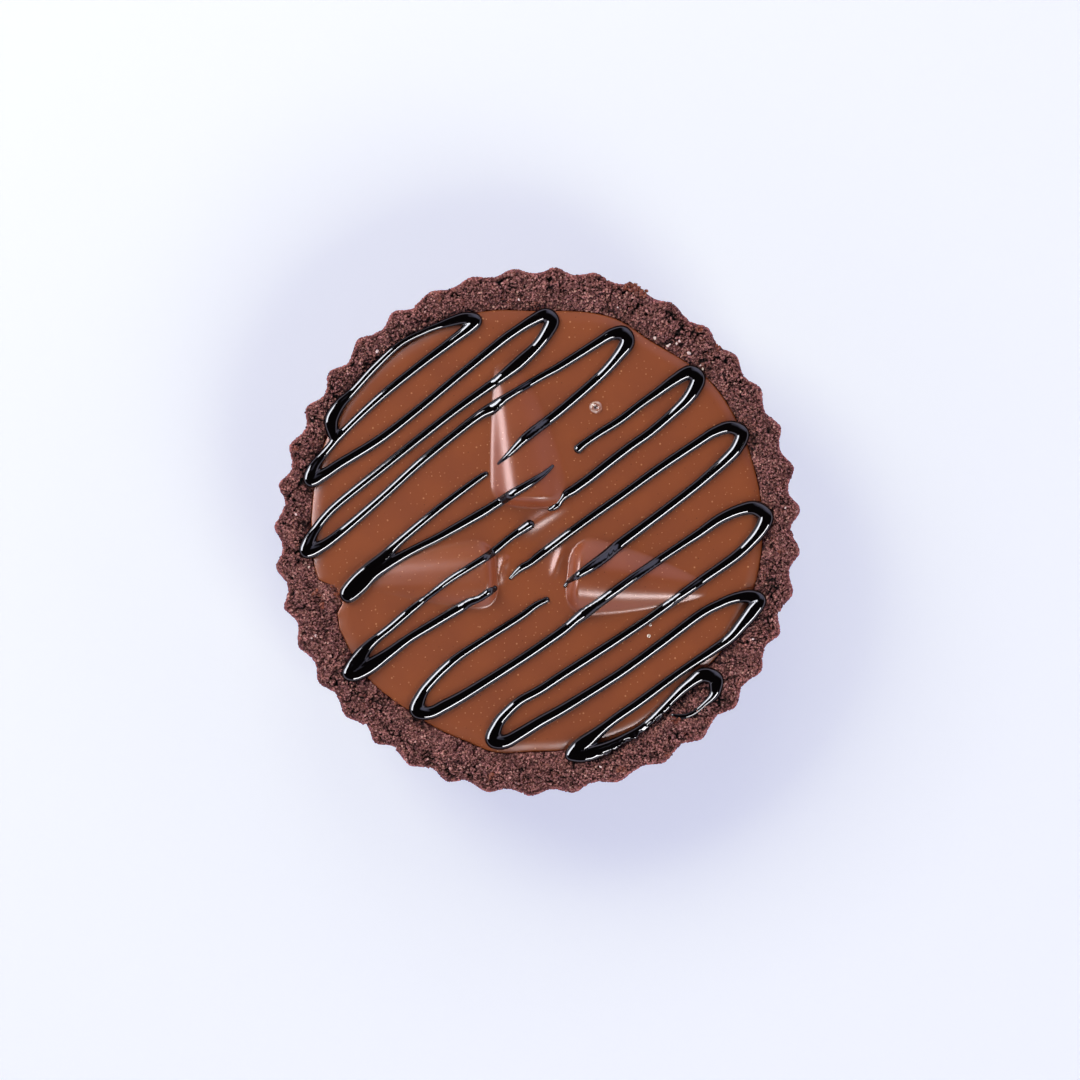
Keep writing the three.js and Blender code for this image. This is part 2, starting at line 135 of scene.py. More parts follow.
# How far the tips have crept round as the dough shrank: [angle, shift], degrees.
FLUTE_CREEP = [[0, 0.2], [35, 0.3], [52, -0.8], [88, -1.6], [125, -1.2], [142, -0.2], [180, -0.9],
               [215, -2], [258, -3.8], [280, -3.4], [300, -1], [322, 0.3]]
RIM_SHOULDER = 1.5               # drop of the outer edge below the crown
RIM_SLOPE = 1.5                  # drop of the inner edge below the crown
RIM_CROWN = 0.3                  # where the crown ends, as a share of the rim's width
RIM_SHOULDER_SHARE = 0.06
JOINT_GAP = 0.12                 # between crust and ganache
# The line where ganache meets crust: [angle in degrees, radius].
GANACHE_EDGE = [[0, 43.1], [14, 43.2], [38, 43.8], [59, 42.3], [70, 43.2], [90, 42], [106, 43.2],
                [120, 43.4], [146, 44.4], [158, 43.9], [176, 43.2], [188, 43.1], [192, 42.8],
                [196, 39.8], [200, 39.6], [203, 41.4], [207, 42.1], [220, 42.8], [236, 42.1], [250, 42.3],
                [259, 43], [270, 42.1], [296, 42.7], [318, 41.6], [338, 42.8]]
BELOW_RIM = 17.6                 # height where the crumbly skin of the rim ends inside
WALL_CRUMBLE = 0.32              # how crumbly the wall is, as a share of the rim
SMOOTH_CRUMBLE = 0.1             # and the parts that lay on the tin's base or under the ganache
RIM_COLUMNS = 42 * FLUTES
WALL_COLUMNS = 21 * FLUTES
RIM_ROWS = 40
WALL_ROWS = 32
GRAIN_SIZE = 0.38
GRAIN_HEIGHT = 0.34
CLUMP_SIZE = 1.7
CLUMP_HEIGHT = 0.7
PIT_SIZE = 0.33
PIT_DEPTH = 0.5
PIT_GATHERING = 0.16             # how much the pits keep to patches
PIT_PATCH_SIZE = 2.6
PIT_RANGE = (0.625, 0.69)        # of their noise, where a pit begins and where it has its full depth
CRACK_WANDER = 6                 # size of the swirls that the crevices follow
CRACK_WIDTH = 0.04               # as a share of their swirls
CRACK_DEPTH = 0.7
CRACK_PATCH_SIZE = 1000 / 230    # of the patches in which the crevices open


def smooth(share):
    """A share from 0 to 1, eased at both ends."""
    share = np.clip(share, 0, 1)
    return share * share * (3 - 2 * share)


def chance(i, j):
    """A repeatable number from 0 to 1 for whole numbers i and j."""
    s = np.sin(i * 127.1 + j * 311.7 + 17.3) * 43758.5453
    return s - np.floor(s)


def around_circle(pairs, angle):
    """The value at an angle of a closed curve given as [degrees, value] pairs."""
    stops = np.array(pairs + [[360, pairs[0][1]]], float)
    degrees = np.degrees(angle) % 360
    after = np.clip(np.searchsorted(stops[:, 0], degrees, side="right"), 1, len(stops) - 1)
    low, high = stops[after - 1], stops[after]
    share = smooth((degrees - low[..., 0]) / (high[..., 0] - low[..., 0]))
    return low[..., 1] + share * (high[..., 1] - low[..., 1])


def flute_phase(angle):
    """Which flute an angle is in, as a running number: whole numbers are tips."""
    turns = (np.degrees(angle) - FLUTE_START - around_circle(FLUTE_CREEP, angle)) / 360
    return turns * FLUTES


def flute_uneven(angle):
    """How deep the flute at an angle is, as a share of the usual depth."""
    uneven = 1 + FLUTE_UNEVEN * (2 * chance(np.round(flute_phase(angle)) % FLUTES, 3) - 1)
    return uneven * around_circle(FLUTE_SWELL, angle)


def out_of_round(angle):
    """How far the case stands out past its circle at an angle."""
    oval = OVAL * np.cos(2 * (angle - math.radians(OVAL_ANGLE)))
    return oval + around_circle(OUT_OF_ROUND, angle)


def rim_radius(angle):
    """Radius of the fluted outside at the rim."""
    phase = flute_phase(angle)
    wave = np.hypot(np.sin(np.pi * phase), FLUTE_TIP) - FLUTE_TIP
    inward = FLUTE_DEPTH * flute_uneven(angle) * wave / (math.hypot(1, FLUTE_TIP) - FLUTE_TIP)
    return RIM_DIAMETER / 2 + out_of_round(angle) - inward


def edge_radius(angle):
    """Radius of the line where ganache meets crust."""
    return around_circle(GANACHE_EDGE, angle)


def rim_height(share):
    """Height of the rim's top: share 0 is its outer edge, 1 the ganache."""
    shoulder = RIM_SHOULDER * np.exp(-np.maximum(share, 0) / RIM_SHOULDER_SHARE)
    slope = RIM_SLOPE * np.maximum(0, (np.minimum(share, 1) - RIM_CROWN) / (1 - RIM_CROWN)) ** 2
    return CASE_HEIGHT - shoulder - slope


def ring_faces(counts):
    """Faces of a closed skin over rings, from a first pole to a last one. A ring has as many points
    as the one before it, or twice or half as many."""
    faces = []
    starts = np.concatenate([[1], 1 + np.cumsum(counts)])
    for k, count in enumerate(counts[:-1]):
        other = counts[k + 1]
        low, high = int(starts[k]), int(starts[k + 1])
        for i in range(min(count, other)):
            j = (i + 1) % min(count, other)
            if other == count:
                faces.append((low + i, low + j, high + j, high + i))
            elif other > count:
                faces.append((low + i, low + j, high + (2 * j) % other, high + 2 * i + 1, high + 2 * i))
            else:
                faces.append((low + 2 * i, low + 2 * i + 1, low + (2 * j) % count, high + j, high + i))
    first, last = counts[0], counts[-1]
    faces += [(0, 1 + (i + 1) % first, 1 + i) for i in range(first)]
    pole, start = int(starts[-1]), int(starts[-2])
    faces += [(pole, start + i, start + (i + 1) % last) for i in range(last)]
    return faces


def new_object(name, points, faces, attributes=None):
    """A mesh object with named numbers on its points."""
    mesh = bpy.data.meshes.new(name)
    mesh.from_pydata(np.asarray(points).tolist(), [], faces)
    for key, values in (attributes or {}).items():
        mesh.attributes.new(key, "FLOAT", "POINT").data.foreach_set("value", np.asarray(values, np.float32))
    made = bpy.data.objects.new(name, mesh)
    bpy.context.scene.collection.objects.link(made)
    return made


def columns(count):
    """Angles evenly round a circle."""
    return np.arange(count) * 2 * np.pi / count


def to_axis(angle):
    """The radius that the underside leads in to."""
    return 0 * angle


def to_inner_edge(angle):
    """The radius that the rim leads in to."""
    return edge_radius(angle) + JOINT_GAP / 2


def to_hollow_base(angle):
    """The radius of the hollow at its floor."""
    return 0 * angle + HOLLOW_BASE_RADIUS


# The dough as a flat strip: each row has its level up the wall, its share of the way in over the
# rim, the radius that the way in leads to, its height, and how much it crumbles.
rounding_share = BASE_ROUNDING / BASE_DIAMETER * 2
rows = [(WALL_COLUMNS, 0, share, to_axis, 0, 0) for share in (0.6, 0.15, rounding_share)]
rows.append((WALL_COLUMNS, 0, 0.3 * rounding_share, to_axis, 0.3 * BASE_ROUNDING, SMOOTH_CRUMBLE))
for height in np.linspace(BASE_ROUNDING, CASE_HEIGHT - RIM_SHOULDER, WALL_ROWS):
    rows.append((WALL_COLUMNS, height / CASE_HEIGHT, 0, to_axis, height, WALL_CRUMBLE))
for share in (np.arange(RIM_ROWS + 1) / RIM_ROWS) ** 1.2:
    fade = 1 - 0.3 * max(0, share - 0.6) / 0.4
    crumble = min(fade, WALL_CRUMBLE + 7 * share)
    rows.append((RIM_COLUMNS, 1, share, to_inner_edge, rim_height(share), crumble))
for radius, height in ((to_inner_edge, BELOW_RIM), (to_inner_edge, HOLLOW_SLOPE_TOP),
                       (to_hollow_base, CASE_FLOOR)):
    rows.append((WALL_COLUMNS, 1, 1, radius, height, SMOOTH_CRUMBLE))

counts = [row[0] for row in rows]
turn = np.concatenate([[0]] + [columns(count) for count in counts] + [[0]])


def by_row(column):
    """One column of the rows, spread over every point, with a pole at each end."""
    spread = [np.full(row[0], row[column], float) for row in rows]
    return np.concatenate([spread[0][:1], *spread, spread[-1][:1]])


way_in = np.concatenate([[0]] + [row[3](columns(row[0])) for row in rows] + [[0]])
share = by_row(2)
share[[0, -1]] = 1
strip = {
    "turn": turn, "phase": flute_phase(turn), "uneven": flute_uneven(turn), "bulge": out_of_round(turn),
    "level": by_row(1), "share": share, "way_in": way_in, "height": by_row(4), "crumble": by_row(5),
}
crust = new_object("crust_case", np.zeros((len(turn), 3)), ring_faces(counts), strip)

CASE_SIZES = {
    "Rim radius": RIM_DIAMETER / 2 * MM, "Base radius": BASE_DIAMETER / 2 * MM,
    "Flute depth": FLUTE_DEPTH * MM, "Flute depth at base": FLUTE_DEPTH_AT_BASE * MM,
    "Flute tip": FLUTE_TIP, "Grain size": GRAIN_SIZE * MM, "Grain height": GRAIN_HEIGHT * MM,
    "Clump size": CLUMP_SIZE * MM, "Clump height": CLUMP_HEIGHT * MM, "Pit size": PIT_SIZE * MM,
    "Pit depth": PIT_DEPTH * MM, "Crack wander": CRACK_WANDER * MM, "Crack width": CRACK_WIDTH,
    "Crack depth": CRACK_DEPTH * MM,
}


def new_tree(name, sizes):
    """A geometry tree with a named number input for each size, and its inputs."""
    made = bpy.data.node_groups.new(name, "GeometryNodeTree")
    made.interface.new_socket("Geometry", in_out="INPUT", socket_type="NodeSocketGeometry")
    made.interface.new_socket("Geometry", in_out="OUTPUT", socket_type="NodeSocketGeometry")
    for size in sizes:
        made.interface.new_socket(size, in_out="INPUT", socket_type="NodeSocketFloat")
    return made, add(made, "NodeGroupInput").outputs


def end_tree(tree, geometry, material):
    """Ends a tree: its instances are made real and its material is set."""
    done = add(tree, "GeometryNodeRealizeInstances", {"Geometry": geometry})
    done = add(tree, "GeometryNodeSetMaterial", {"Geometry": done, "Material": material})
    add(tree, "NodeGroupOutput", {"Geometry": done})


def apply_tree(piece, tree, sizes):
    """Runs a tree on a piece with its sizes set, and keeps the result as its plain mesh."""
    modifier = piece.modifiers.new(tree.name, "NODES")
    modifier.node_group = tree
    for item in tree.interface.items_tree:
        if item.in_out == "INPUT" and item.name in sizes:
            modifier[item.identifier] = sizes[item.name]
    depsgraph = bpy.context.evaluated_depsgraph_get()
    made = bpy.data.meshes.new_from_object(piece.evaluated_get(depsgraph))
    piece.modifiers.remove(modifier)
    old = piece.data
    piece.data = made
    bpy.data.meshes.remove(old)
    made.name = piece.name


bake, given = new_tree("bake_case", CASE_SIZES)
value = {name: add(bake, "GeometryNodeInputNamedAttribute", {"Name": name}, data_type="FLOAT")
         for name in strip}

# The flutes: a wave with rounded tips, deeper at the rim.
angle = add(bake, "ShaderNodeMath", {0: value["phase"], 1: math.pi}, operation="MULTIPLY")
sine = add(bake, "ShaderNodeMath", {0: angle}, operation="SINE")
square = add(bake, "ShaderNodeMath", {0: sine, 1: sine}, operation="MULTIPLY")
tip_square = add(bake, "ShaderNodeMath", {
    0: given["Flute tip"], 1: given["Flute tip"], 2: square}, operation="MULTIPLY_ADD")
tip_full = add(bake, "ShaderNodeMath", {
    0: given["Flute tip"], 1: given["Flute tip"], 2: 1.0}, operation="MULTIPLY_ADD")
swing = add(bake, "ShaderNodeMath", {0: tip_square}, operation="SQRT")
swing = add(bake, "ShaderNodeMath", {0: swing, 1: given["Flute tip"]}, operation="SUBTRACT")
full_swing = add(bake, "ShaderNodeMath", {0: tip_full}, operation="SQRT")
full_swing = add(bake, "ShaderNodeMath", {0: full_swing, 1: given["Flute tip"]}, operation="SUBTRACT")
wave = add(bake, "ShaderNodeMath", {0: swing, 1: full_swing}, operation="DIVIDE")
depth = add(bake, "ShaderNodeMapRange", {
    "Value": value["level"], "To Min": given["Flute depth at base"], "To Max": given["Flute depth"]})
depth = add(bake, "ShaderNodeMath", {0: depth, 1: value["uneven"]}, operation="MULTIPLY")
depth = add(bake, "ShaderNodeMath", {0: depth, 1: wave}, operation="MULTIPLY")

# The round of the case, a little out of true, and the way in over the rim or under the base.
mean = add(bake, "ShaderNodeMapRange", {
    "Value": value["level"], "To Min": given["Base radius"], "To Max": given["Rim radius"]})
round_out = add(bake, "ShaderNodeMath", {0: value["bulge"], 1: MM, 2: mean}, operation="MULTIPLY_ADD")
outer = add(bake, "ShaderNodeMath", {0: round_out, 1: depth}, operation="SUBTRACT")
inner = add(bake, "ShaderNodeMath", {0: value["way_in"], 1: MM}, operation="MULTIPLY")
radius = add(bake, "ShaderNodeMapRange", {
    "Value": value["share"], "To Min": outer, "To Max": inner})
turn_cosine = add(bake, "ShaderNodeMath", {0: value["turn"]}, operation="COSINE")
turn_sine = add(bake, "ShaderNodeMath", {0: value["turn"]}, operation="SINE")
place = add(bake, "ShaderNodeCombineXYZ", {
    "X": add(bake, "ShaderNodeMath", {0: turn_cosine, 1: radius}, operation="MULTIPLY"),
    "Y": add(bake, "ShaderNodeMath", {0: turn_sine, 1: radius}, operation="MULTIPLY"),
    "Z": add(bake, "ShaderNodeMath", {0: value["height"], 1: MM}, operation="MULTIPLY")})
bent = add(bake, "GeometryNodeSetPosition", {"Geometry": given["Geometry"], "Position": place})

# The crumb: clumps with grains on them, pits between the grains, and cracks.
here = add(bake, "GeometryNodeInputPosition")
grain_scale = add(bake, "ShaderNodeMath", {0: 1.0, 1: given["Grain size"]}, operation="DIVIDE")
grains = add(bake, "ShaderNodeTexVoronoi", {
    "Vector": here, "Scale": grain_scale, "Smoothness": 0.2}, feature="SMOOTH_F1")
clump_scale = add(bake, "ShaderNodeMath", {0: 1.0, 1: given["Clump size"]}, operation="DIVIDE")
clumps = add(bake, "ShaderNodeTexNoise", {
    "Vector": here, "Scale": clump_scale, "Detail": 3.0, "Roughness": 0.6})
pit_scale = add(bake, "ShaderNodeMath", {0: 1.0, 1: given["Pit size"]}, operation="DIVIDE")
pits = add(bake, "ShaderNodeTexNoise", {
    "Vector": here, "Scale": pit_scale, "Detail": 2.0, "Roughness": 0.55})
pit_patches = add(bake, "ShaderNodeTexNoise", {
    "Vector": here, "Scale": 1 / (PIT_PATCH_SIZE * MM), "Detail": 2.0})
pits = add(bake, "ShaderNodeMath", {0: pit_patches, 1: PIT_GATHERING, 2: pits}, operation="MULTIPLY_ADD")
pit = add(bake, "ShaderNodeMapRange", {
    "Value": pits, "From Min": PIT_RANGE[0], "From Max": PIT_RANGE[1]}, interpolation_type="SMOOTHSTEP")
swirl_scale = add(bake, "ShaderNodeMath", {0: 1.0, 1: given["Crack wander"]}, operation="DIVIDE")
swirls = add(bake, "ShaderNodeTexNoise", {
    "Vector": here, "Scale": swirl_scale, "Detail": 3.0, "Roughness": 0.6})
off_line = add(bake, "ShaderNodeMath", {0: swirls, 1: 0.5}, operation="SUBTRACT")
off_line = add(bake, "ShaderNodeMath", {0: off_line}, operation="ABSOLUTE")
across = add(bake, "ShaderNodeMath", {0: off_line, 1: given["Crack width"]}, operation="DIVIDE")
crack_near = add(bake, "ShaderNodeMapRange", {
    "Value": across, "From Min": 0.15, "From Max": 0.6, "To Min": 1.0, "To Max": 0.0},
    interpolation_type="SMOOTHSTEP")
crack_patches = add(bake, "ShaderNodeTexNoise", {
    "Vector": here, "Scale": 1 / (CRACK_PATCH_SIZE * MM), "Detail": 1.0})
crack_open = add(bake, "ShaderNodeMapRange", {
    "Value": crack_patches, "From Min": 0.44, "From Max": 0.54}, interpolation_type="SMOOTHSTEP")
crack = add(bake, "ShaderNodeMath", {0: crack_near, 1: crack_open}, operation="MULTIPLY")
hollow = add(bake, "ShaderNodeMath", {0: pit, 1: crack}, operation="MAXIMUM")
hollow = add(bake, "ShaderNodeMath", {0: hollow, 1: value["crumble"]}, operation="MULTIPLY")
grain_rise = add(bake, "ShaderNodeMapRange", {
    "Value": grains, "From Min": 0.1, "From Max": 0.75, "To Min": 0.5, "To Max": -0.5})
kept = add(bake, "GeometryNodeStoreNamedAttribute", {
    "Geometry": bent, "Name": "hollow", "Value": hollow}, data_type="FLOAT", domain="POINT")
kept = add(bake, "GeometryNodeStoreNamedAttribute", {
    "Geometry": kept, "Name": "grain", "Value": grain_rise}, data_type="FLOAT", domain="POINT")

relief = add(bake, "ShaderNodeMath", {0: grain_rise, 1: given["Grain height"]}, operation="MULTIPLY")
clump_rise = add(bake, "ShaderNodeMath", {0: clumps, 1: 0.52}, operation="SUBTRACT")
relief = add(bake, "ShaderNodeMath", {
    0: clump_rise, 1: given["Clump height"], 2: relief}, operation="MULTIPLY_ADD")
pit_drop = add(bake, "ShaderNodeMath", {0: pit, 1: given["Pit depth"]}, operation="MULTIPLY")
crack_drop = add(bake, "ShaderNodeMath", {0: crack, 1: given["Crack depth"]}, operation="MULTIPLY")
relief = add(bake, "ShaderNodeMath", {0: relief, 1: pit_drop}, operation="SUBTRACT")
relief = add(bake, "ShaderNodeMath", {0: relief, 1: crack_drop}, operation="SUBTRACT")
relief = add(bake, "ShaderNodeMath", {0: relief, 1: value["crumble"]}, operation="MULTIPLY")
push = add(bake, "ShaderNodeVectorMath", {
    0: add(bake, "GeometryNodeInputNormal"), "Scale": relief}, operation="SCALE")
rough = add(bake, "GeometryNodeSetPosition", {"Geometry": kept, "Offset": push})

# Baked cocoa shortcrust: dry and matt, so its colour is in its grains. Painted light makes them a dusty
# brown on their raised tops, with a random speckle; painted shade makes the pits and cracks between them
# nearly black; and they are redder where the tin browned the edge.
# Painted light: the paler colour laid on the raised tops of the grains, mixed in with a random speckle.
CRUST_GRAIN_PAINTED_LIGHT = "D8929C"
CRUST_BODY = "5C3138"
# Painted shade: the near-black laid in the pits and cracks.
CRUST_PIT_PAINTED_SHADE = "030102"
CRUST_EDGE = "C4706C"
CRUST_WALL = "341D19"            # where the dough lay against the tin it is denser and darker
# Painted light as well: the wall's paler tone, laid on the raised grain tops and the speckle.
CRUST_WALL_GRAIN_PAINTED_LIGHT = "6C443A"
SPECKLE_SIZE = 0.3
FINE_GRAIN_SIZE = 0.36
DUST_CLOUD_SIZE = 2.2            # of the patches that are dustier than the rest

shortcrust, tree, output = new_material("cocoa_shortcrust")
where = add(tree, "ShaderNodeTexCoord").outputs["Object"]
# Painted light: the rise of the grains, which makes their tops paler.
grain_top_light = add(tree, "ShaderNodeAttribute", attribute_name="grain").outputs["Fac"]
hollow_painted_shade = add(tree, "ShaderNodeAttribute", attribute_name="hollow").outputs["Fac"]
share_value = add(tree, "ShaderNodeAttribute", attribute_name="share").outputs["Fac"]
speckle = add(tree, "ShaderNodeTexNoise", {
    "Vector": where, "Scale": 1 / (SPECKLE_SIZE * MM), "Detail": 2.0, "Roughness": 0.8})
# Painted light: this mask is paler on the raised tops of the grains, mixed with a random speckle.
speckle_and_painted_light = add(tree, "ShaderNodeMath", {
    0: speckle.outputs["Fac"], 1: 2.4, 2: grain_top_light}, operation="MULTIPLY_ADD")
speckle_and_painted_light = add(tree, "ShaderNodeMapRange", {"Value": speckle_and_painted_light, "From Min": 0.9, "From Max": 1.6})
clouds = add(tree, "ShaderNodeTexNoise", {
    "Vector": where, "Scale": 1 / (DUST_CLOUD_SIZE * MM), "Detail": 3.0})
dusty = add(tree, "ShaderNodeMapRange", {
    "Value": clouds.outputs["Fac"], "From Min": 0.38, "From Max": 0.62, "To Min": 0.6, "To Max": 1.1})
speckle_and_painted_light = add(tree, "ShaderNodeMath", {0: speckle_and_painted_light, 1: dusty}, operation="MULTIPLY")
body = add(tree, "ShaderNodeMix", {
    "Factor": speckle_and_painted_light, 6: linear(CRUST_BODY), 7: linear(CRUST_GRAIN_PAINTED_LIGHT)}, data_type="RGBA")
near_edge = add(tree, "ShaderNodeMapRange", {
    "Value": share_value, "From Min": 0.02, "From Max": 0.2, "To Min": 0.85, "To Max": 0.0})
near_edge = add(tree, "ShaderNodeMath", {0: near_edge, 1: speckle_and_painted_light}, operation="MULTIPLY")
body = add(tree, "ShaderNodeMix", {
    "Factor": near_edge, 6: body.outputs[2], 7: linear(CRUST_EDGE)}, data_type="RGBA")
wall = add(tree, "ShaderNodeMix", {
    "Factor": speckle_and_painted_light, 6: linear(CRUST_WALL), 7: linear(CRUST_WALL_GRAIN_PAINTED_LIGHT)}, data_type="RGBA")
level_value = add(tree, "ShaderNodeAttribute", attribute_name="level").outputs["Fac"]
on_wall = add(tree, "ShaderNodeMapRange", {
    "Value": level_value, "From Min": 0.9, "From Max": 0.99, "To Min": 1.0, "To Max": 0.0})
body = add(tree, "ShaderNodeMix", {
    "Factor": on_wall, 6: body.outputs[2], 7: wall.outputs[2]}, data_type="RGBA")
# Painted shade: the pits and cracks are painted nearly black.
body = add(tree, "ShaderNodeMix", {
    "Factor": hollow_painted_shade, 6: body.outputs[2], 7: linear(CRUST_PIT_PAINTED_SHADE)}, data_type="RGBA")
fine = add(tree, "ShaderNodeTexVoronoi", {
    "Vector": where, "Scale": 1 / (FINE_GRAIN_SIZE * MM), "Smoothness": 0.2}, feature="SMOOTH_F1")
bump = add(tree, "ShaderNodeBump", {
    "Height": fine.outputs["Distance"], "Strength": 1.0, "Distance": 0.16 * MM}, invert=True)
bump = add(tree, "ShaderNodeBump", {
    "Height": speckle.outputs["Fac"], "Strength": 1.0, "Distance": 0.2 * MM, "Normal": bump})
shader = add(tree, "ShaderNodeBsdfPrincipled", {
    "Base Color": body.outputs[2], "Roughness": 0.75, "Specular IOR Level": 0.08, "Normal": bump})
tree.links.new(shader.outputs[0], output.inputs[0])

rough = add(bake, "GeometryNodeSetShadeSmooth", {"Geometry": rough, "Shade Smooth": True})
end_tree(bake, rough, shortcrust)
apply_tree(crust, bake, CASE_SIZES)
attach(crust, "root")
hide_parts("crust")


# ---- loose crumb ----
# The rim's own crumb: granules of baked dough that stand proud of the crown, half sunk in it. They
# are the same shortcrust, some a little paler or redder than the rest.
CRUMB_SIZES = {"Spacing": 0.38 * MM, "Density": 6e6, "Smallest": 0.12 * MM, "Largest": 0.27 * MM,
               "Sunk": 0.06 * MM}
CRUMB_TONES = [(0.05, "32181E"), (0.3, "70434A"), (0.72, "AC757A"), (1.0, "E0ACB0")]
CRUMB_RED = "8F4838"
CRUMB_RED_SIZE = 3               # of the patches that are redder
CRUMB_GRIT_SIZE = 0.25

crumb_tree, given = new_tree("scatter_crumb", CRUMB_SIZES)
crumbles = add(crumb_tree, "GeometryNodeInputNamedAttribute", {"Name": "crumble"}, data_type="FLOAT")
hollows = add(crumb_tree, "GeometryNodeInputNamedAttribute", {"Name": "hollow"}, data_type="FLOAT")
where_crumbly = add(crumb_tree, "ShaderNodeMapRange", {"Value": crumbles, "From Min": 0.3, "From Max": 0.6,
                                                       "To Min": 0.04, "To Max": 1.0})
levels = add(crumb_tree, "GeometryNodeInputNamedAttribute", {"Name": "level"}, data_type="FLOAT")
near_rim = add(crumb_tree, "ShaderNodeMapRange", {"Value": levels, "From Min": 0.55, "From Max": 0.95})
where_crumbly = add(crumb_tree, "ShaderNodeMath", {0: where_crumbly, 1: near_rim}, operation="MULTIPLY")
off_hollow = add(crumb_tree, "ShaderNodeMapRange", {"Value": hollows, "From Min": 0.15, "From Max": 0.5,
                                                    "To Min": 1.0, "To Max": 0.0})
likely = add(crumb_tree, "ShaderNodeMath", {0: where_crumbly, 1: off_hollow}, operation="MULTIPLY")
spots = add(crumb_tree, "GeometryNodeDistributePointsOnFaces", {
    "Mesh": given["Geometry"], "Distance Min": given["Spacing"], "Density Max": given["Density"],
    "Density Factor": likely, "Seed": 4}, distribute_method="POISSON")
granule = add(crumb_tree, "GeometryNodeMeshIcoSphere", {"Radius": 1.0, "Subdivisions": 1})
size = add(crumb_tree, "FunctionNodeRandomValue", {
    2: given["Smallest"], 3: given["Largest"], "Seed": 5}, data_type="FLOAT")
squat = add(crumb_tree, "FunctionNodeRandomValue", {
    0: (0.75, 0.75, 0.65), 1: (1.25, 1.25, 1.1), "Seed": 6}, data_type="FLOAT_VECTOR")
scale = add(crumb_tree, "ShaderNodeVectorMath", {0: squat, "Scale": size}, operation="SCALE")
tumble = add(crumb_tree, "FunctionNodeRandomValue", {
    0: (0, 0, 0), 1: (2 * math.pi, 2 * math.pi, 2 * math.pi), "Seed": 7}, data_type="FLOAT_VECTOR")
inward = add(crumb_tree, "ShaderNodeMath", {0: given["Sunk"], 1: -1.0}, operation="MULTIPLY")
sunk = add(crumb_tree, "ShaderNodeVectorMath", {
    0: spots.outputs["Normal"], "Scale": inward}, operation="SCALE")
spots = add(crumb_tree, "GeometryNodeSetPosition", {"Geometry": spots.outputs["Points"], "Offset": sunk})
granules = add(crumb_tree, "GeometryNodeInstanceOnPoints", {
    "Points": spots, "Instance": granule.outputs["Mesh"], "Rotation": tumble, "Scale": scale})
tone = add(crumb_tree, "FunctionNodeRandomValue", {2: 0.0, 3: 1.0, "Seed": 8}, data_type="FLOAT")
granules = add(crumb_tree, "GeometryNodeStoreNamedAttribute", {
    "Geometry": granules, "Name": "tone", "Value": tone}, data_type="FLOAT", domain="INSTANCE")

# The same dry cocoa shortcrust, each granule in one tone of a dark to pinkish grey scale.
granule_crust, tree, output = new_material("cocoa_shortcrust_crumb")
tone_value = add(tree, "ShaderNodeAttribute", attribute_name="tone").outputs["Fac"]
tones = add(tree, "ShaderNodeValToRGB", {"Fac": tone_value})
ramp = tones.color_ramp
while len(ramp.elements) < len(CRUMB_TONES):
    ramp.elements.new(0.5)
for stop, (position, colour) in zip(ramp.elements, CRUMB_TONES):
    stop.position = position
    stop.color = linear(colour)
where = add(tree, "ShaderNodeTexCoord").outputs["Object"]
patches = add(tree, "ShaderNodeTexNoise", {
    "Vector": where, "Scale": 1 / (CRUMB_RED_SIZE * MM), "Detail": 2.0})
redder = add(tree, "ShaderNodeMapRange", {
    "Value": patches.outputs["Fac"], "From Min": 0.52, "From Max": 0.68, "To Min": 0.0, "To Max": 0.5})
body = add(tree, "ShaderNodeMix", {
    "Factor": redder, 6: tones.outputs["Color"], 7: linear(CRUMB_RED)}, data_type="RGBA")
clouds = add(tree, "ShaderNodeTexNoise", {
    "Vector": where, "Scale": 1 / (DUST_CLOUD_SIZE * MM), "Detail": 3.0})
shaded = add(tree, "ShaderNodeMapRange", {
    "Value": clouds.outputs["Fac"], "From Min": 0.38, "From Max": 0.62, "To Min": 0.4, "To Max": 0.0})
body = add(tree, "ShaderNodeMix", {
    "Factor": shaded, 6: body.outputs[2], 7: linear(CRUMB_TONES[0][1])}, data_type="RGBA")
grit = add(tree, "ShaderNodeTexNoise", {
    "Vector": where, "Scale": 1 / (CRUMB_GRIT_SIZE * MM), "Detail": 2.0})
bump = add(tree, "ShaderNodeBump", {"Height": grit.outputs["Fac"], "Strength": 0.7, "Distance": 0.1 * MM})
shader = add(tree, "ShaderNodeBsdfPrincipled", {
    "Base Color": body.outputs[2], "Roughness": 0.7, "Specular IOR Level": 0.1, "Normal": bump})
tree.links.new(shader.outputs[0], output.inputs[0])

end_tree(crumb_tree, granules, granule_crust)
crumb = bpy.data.objects.new("crust_crumb", crust.data.copy())
bpy.context.scene.collection.objects.link(crumb)
apply_tree(crumb, crumb_tree, CRUMB_SIZES)
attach(crumb, "root")
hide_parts("crust")


# ---- browned bits and sugar ----
# Bits of dough that squeezed over the tin and browned to a reddish tone, and coarse sugar grains that
# stayed pale. They are baked onto the rim.
BROWNED_BITS = [
    # x, y, spread in millimetres, how many
    (17.3, 46.6, 0.9, 15), (18.8, 46.2, 0.9, 18), (20.2, 45.5, 0.8, 13), (31.1, 38.3, 0.7, 7),
    (34.3, 34.8, 0.5, 4),
    (26.3, -35.8, 0.9, 14), (16.1, -45.6, 0.9, 7), (24.9, -42.5, 0.6, 5), (-26.9, -32.8, 0.4, 4),
    (-42.2, -11.9, 0.8, 6), (-41.2, -14.1, 0.7, 5), (-38.9, -10.6, 0.8, 7), (-38.2, -12.2, 0.5, 4),
    (-46.2, 15.6, 0.6, 4), (46.3, -3.6, 0.5, 3),
    (-18.6, 44.3, 0.5, 3), (-8.8, -46.6, 0.6, 4),
]
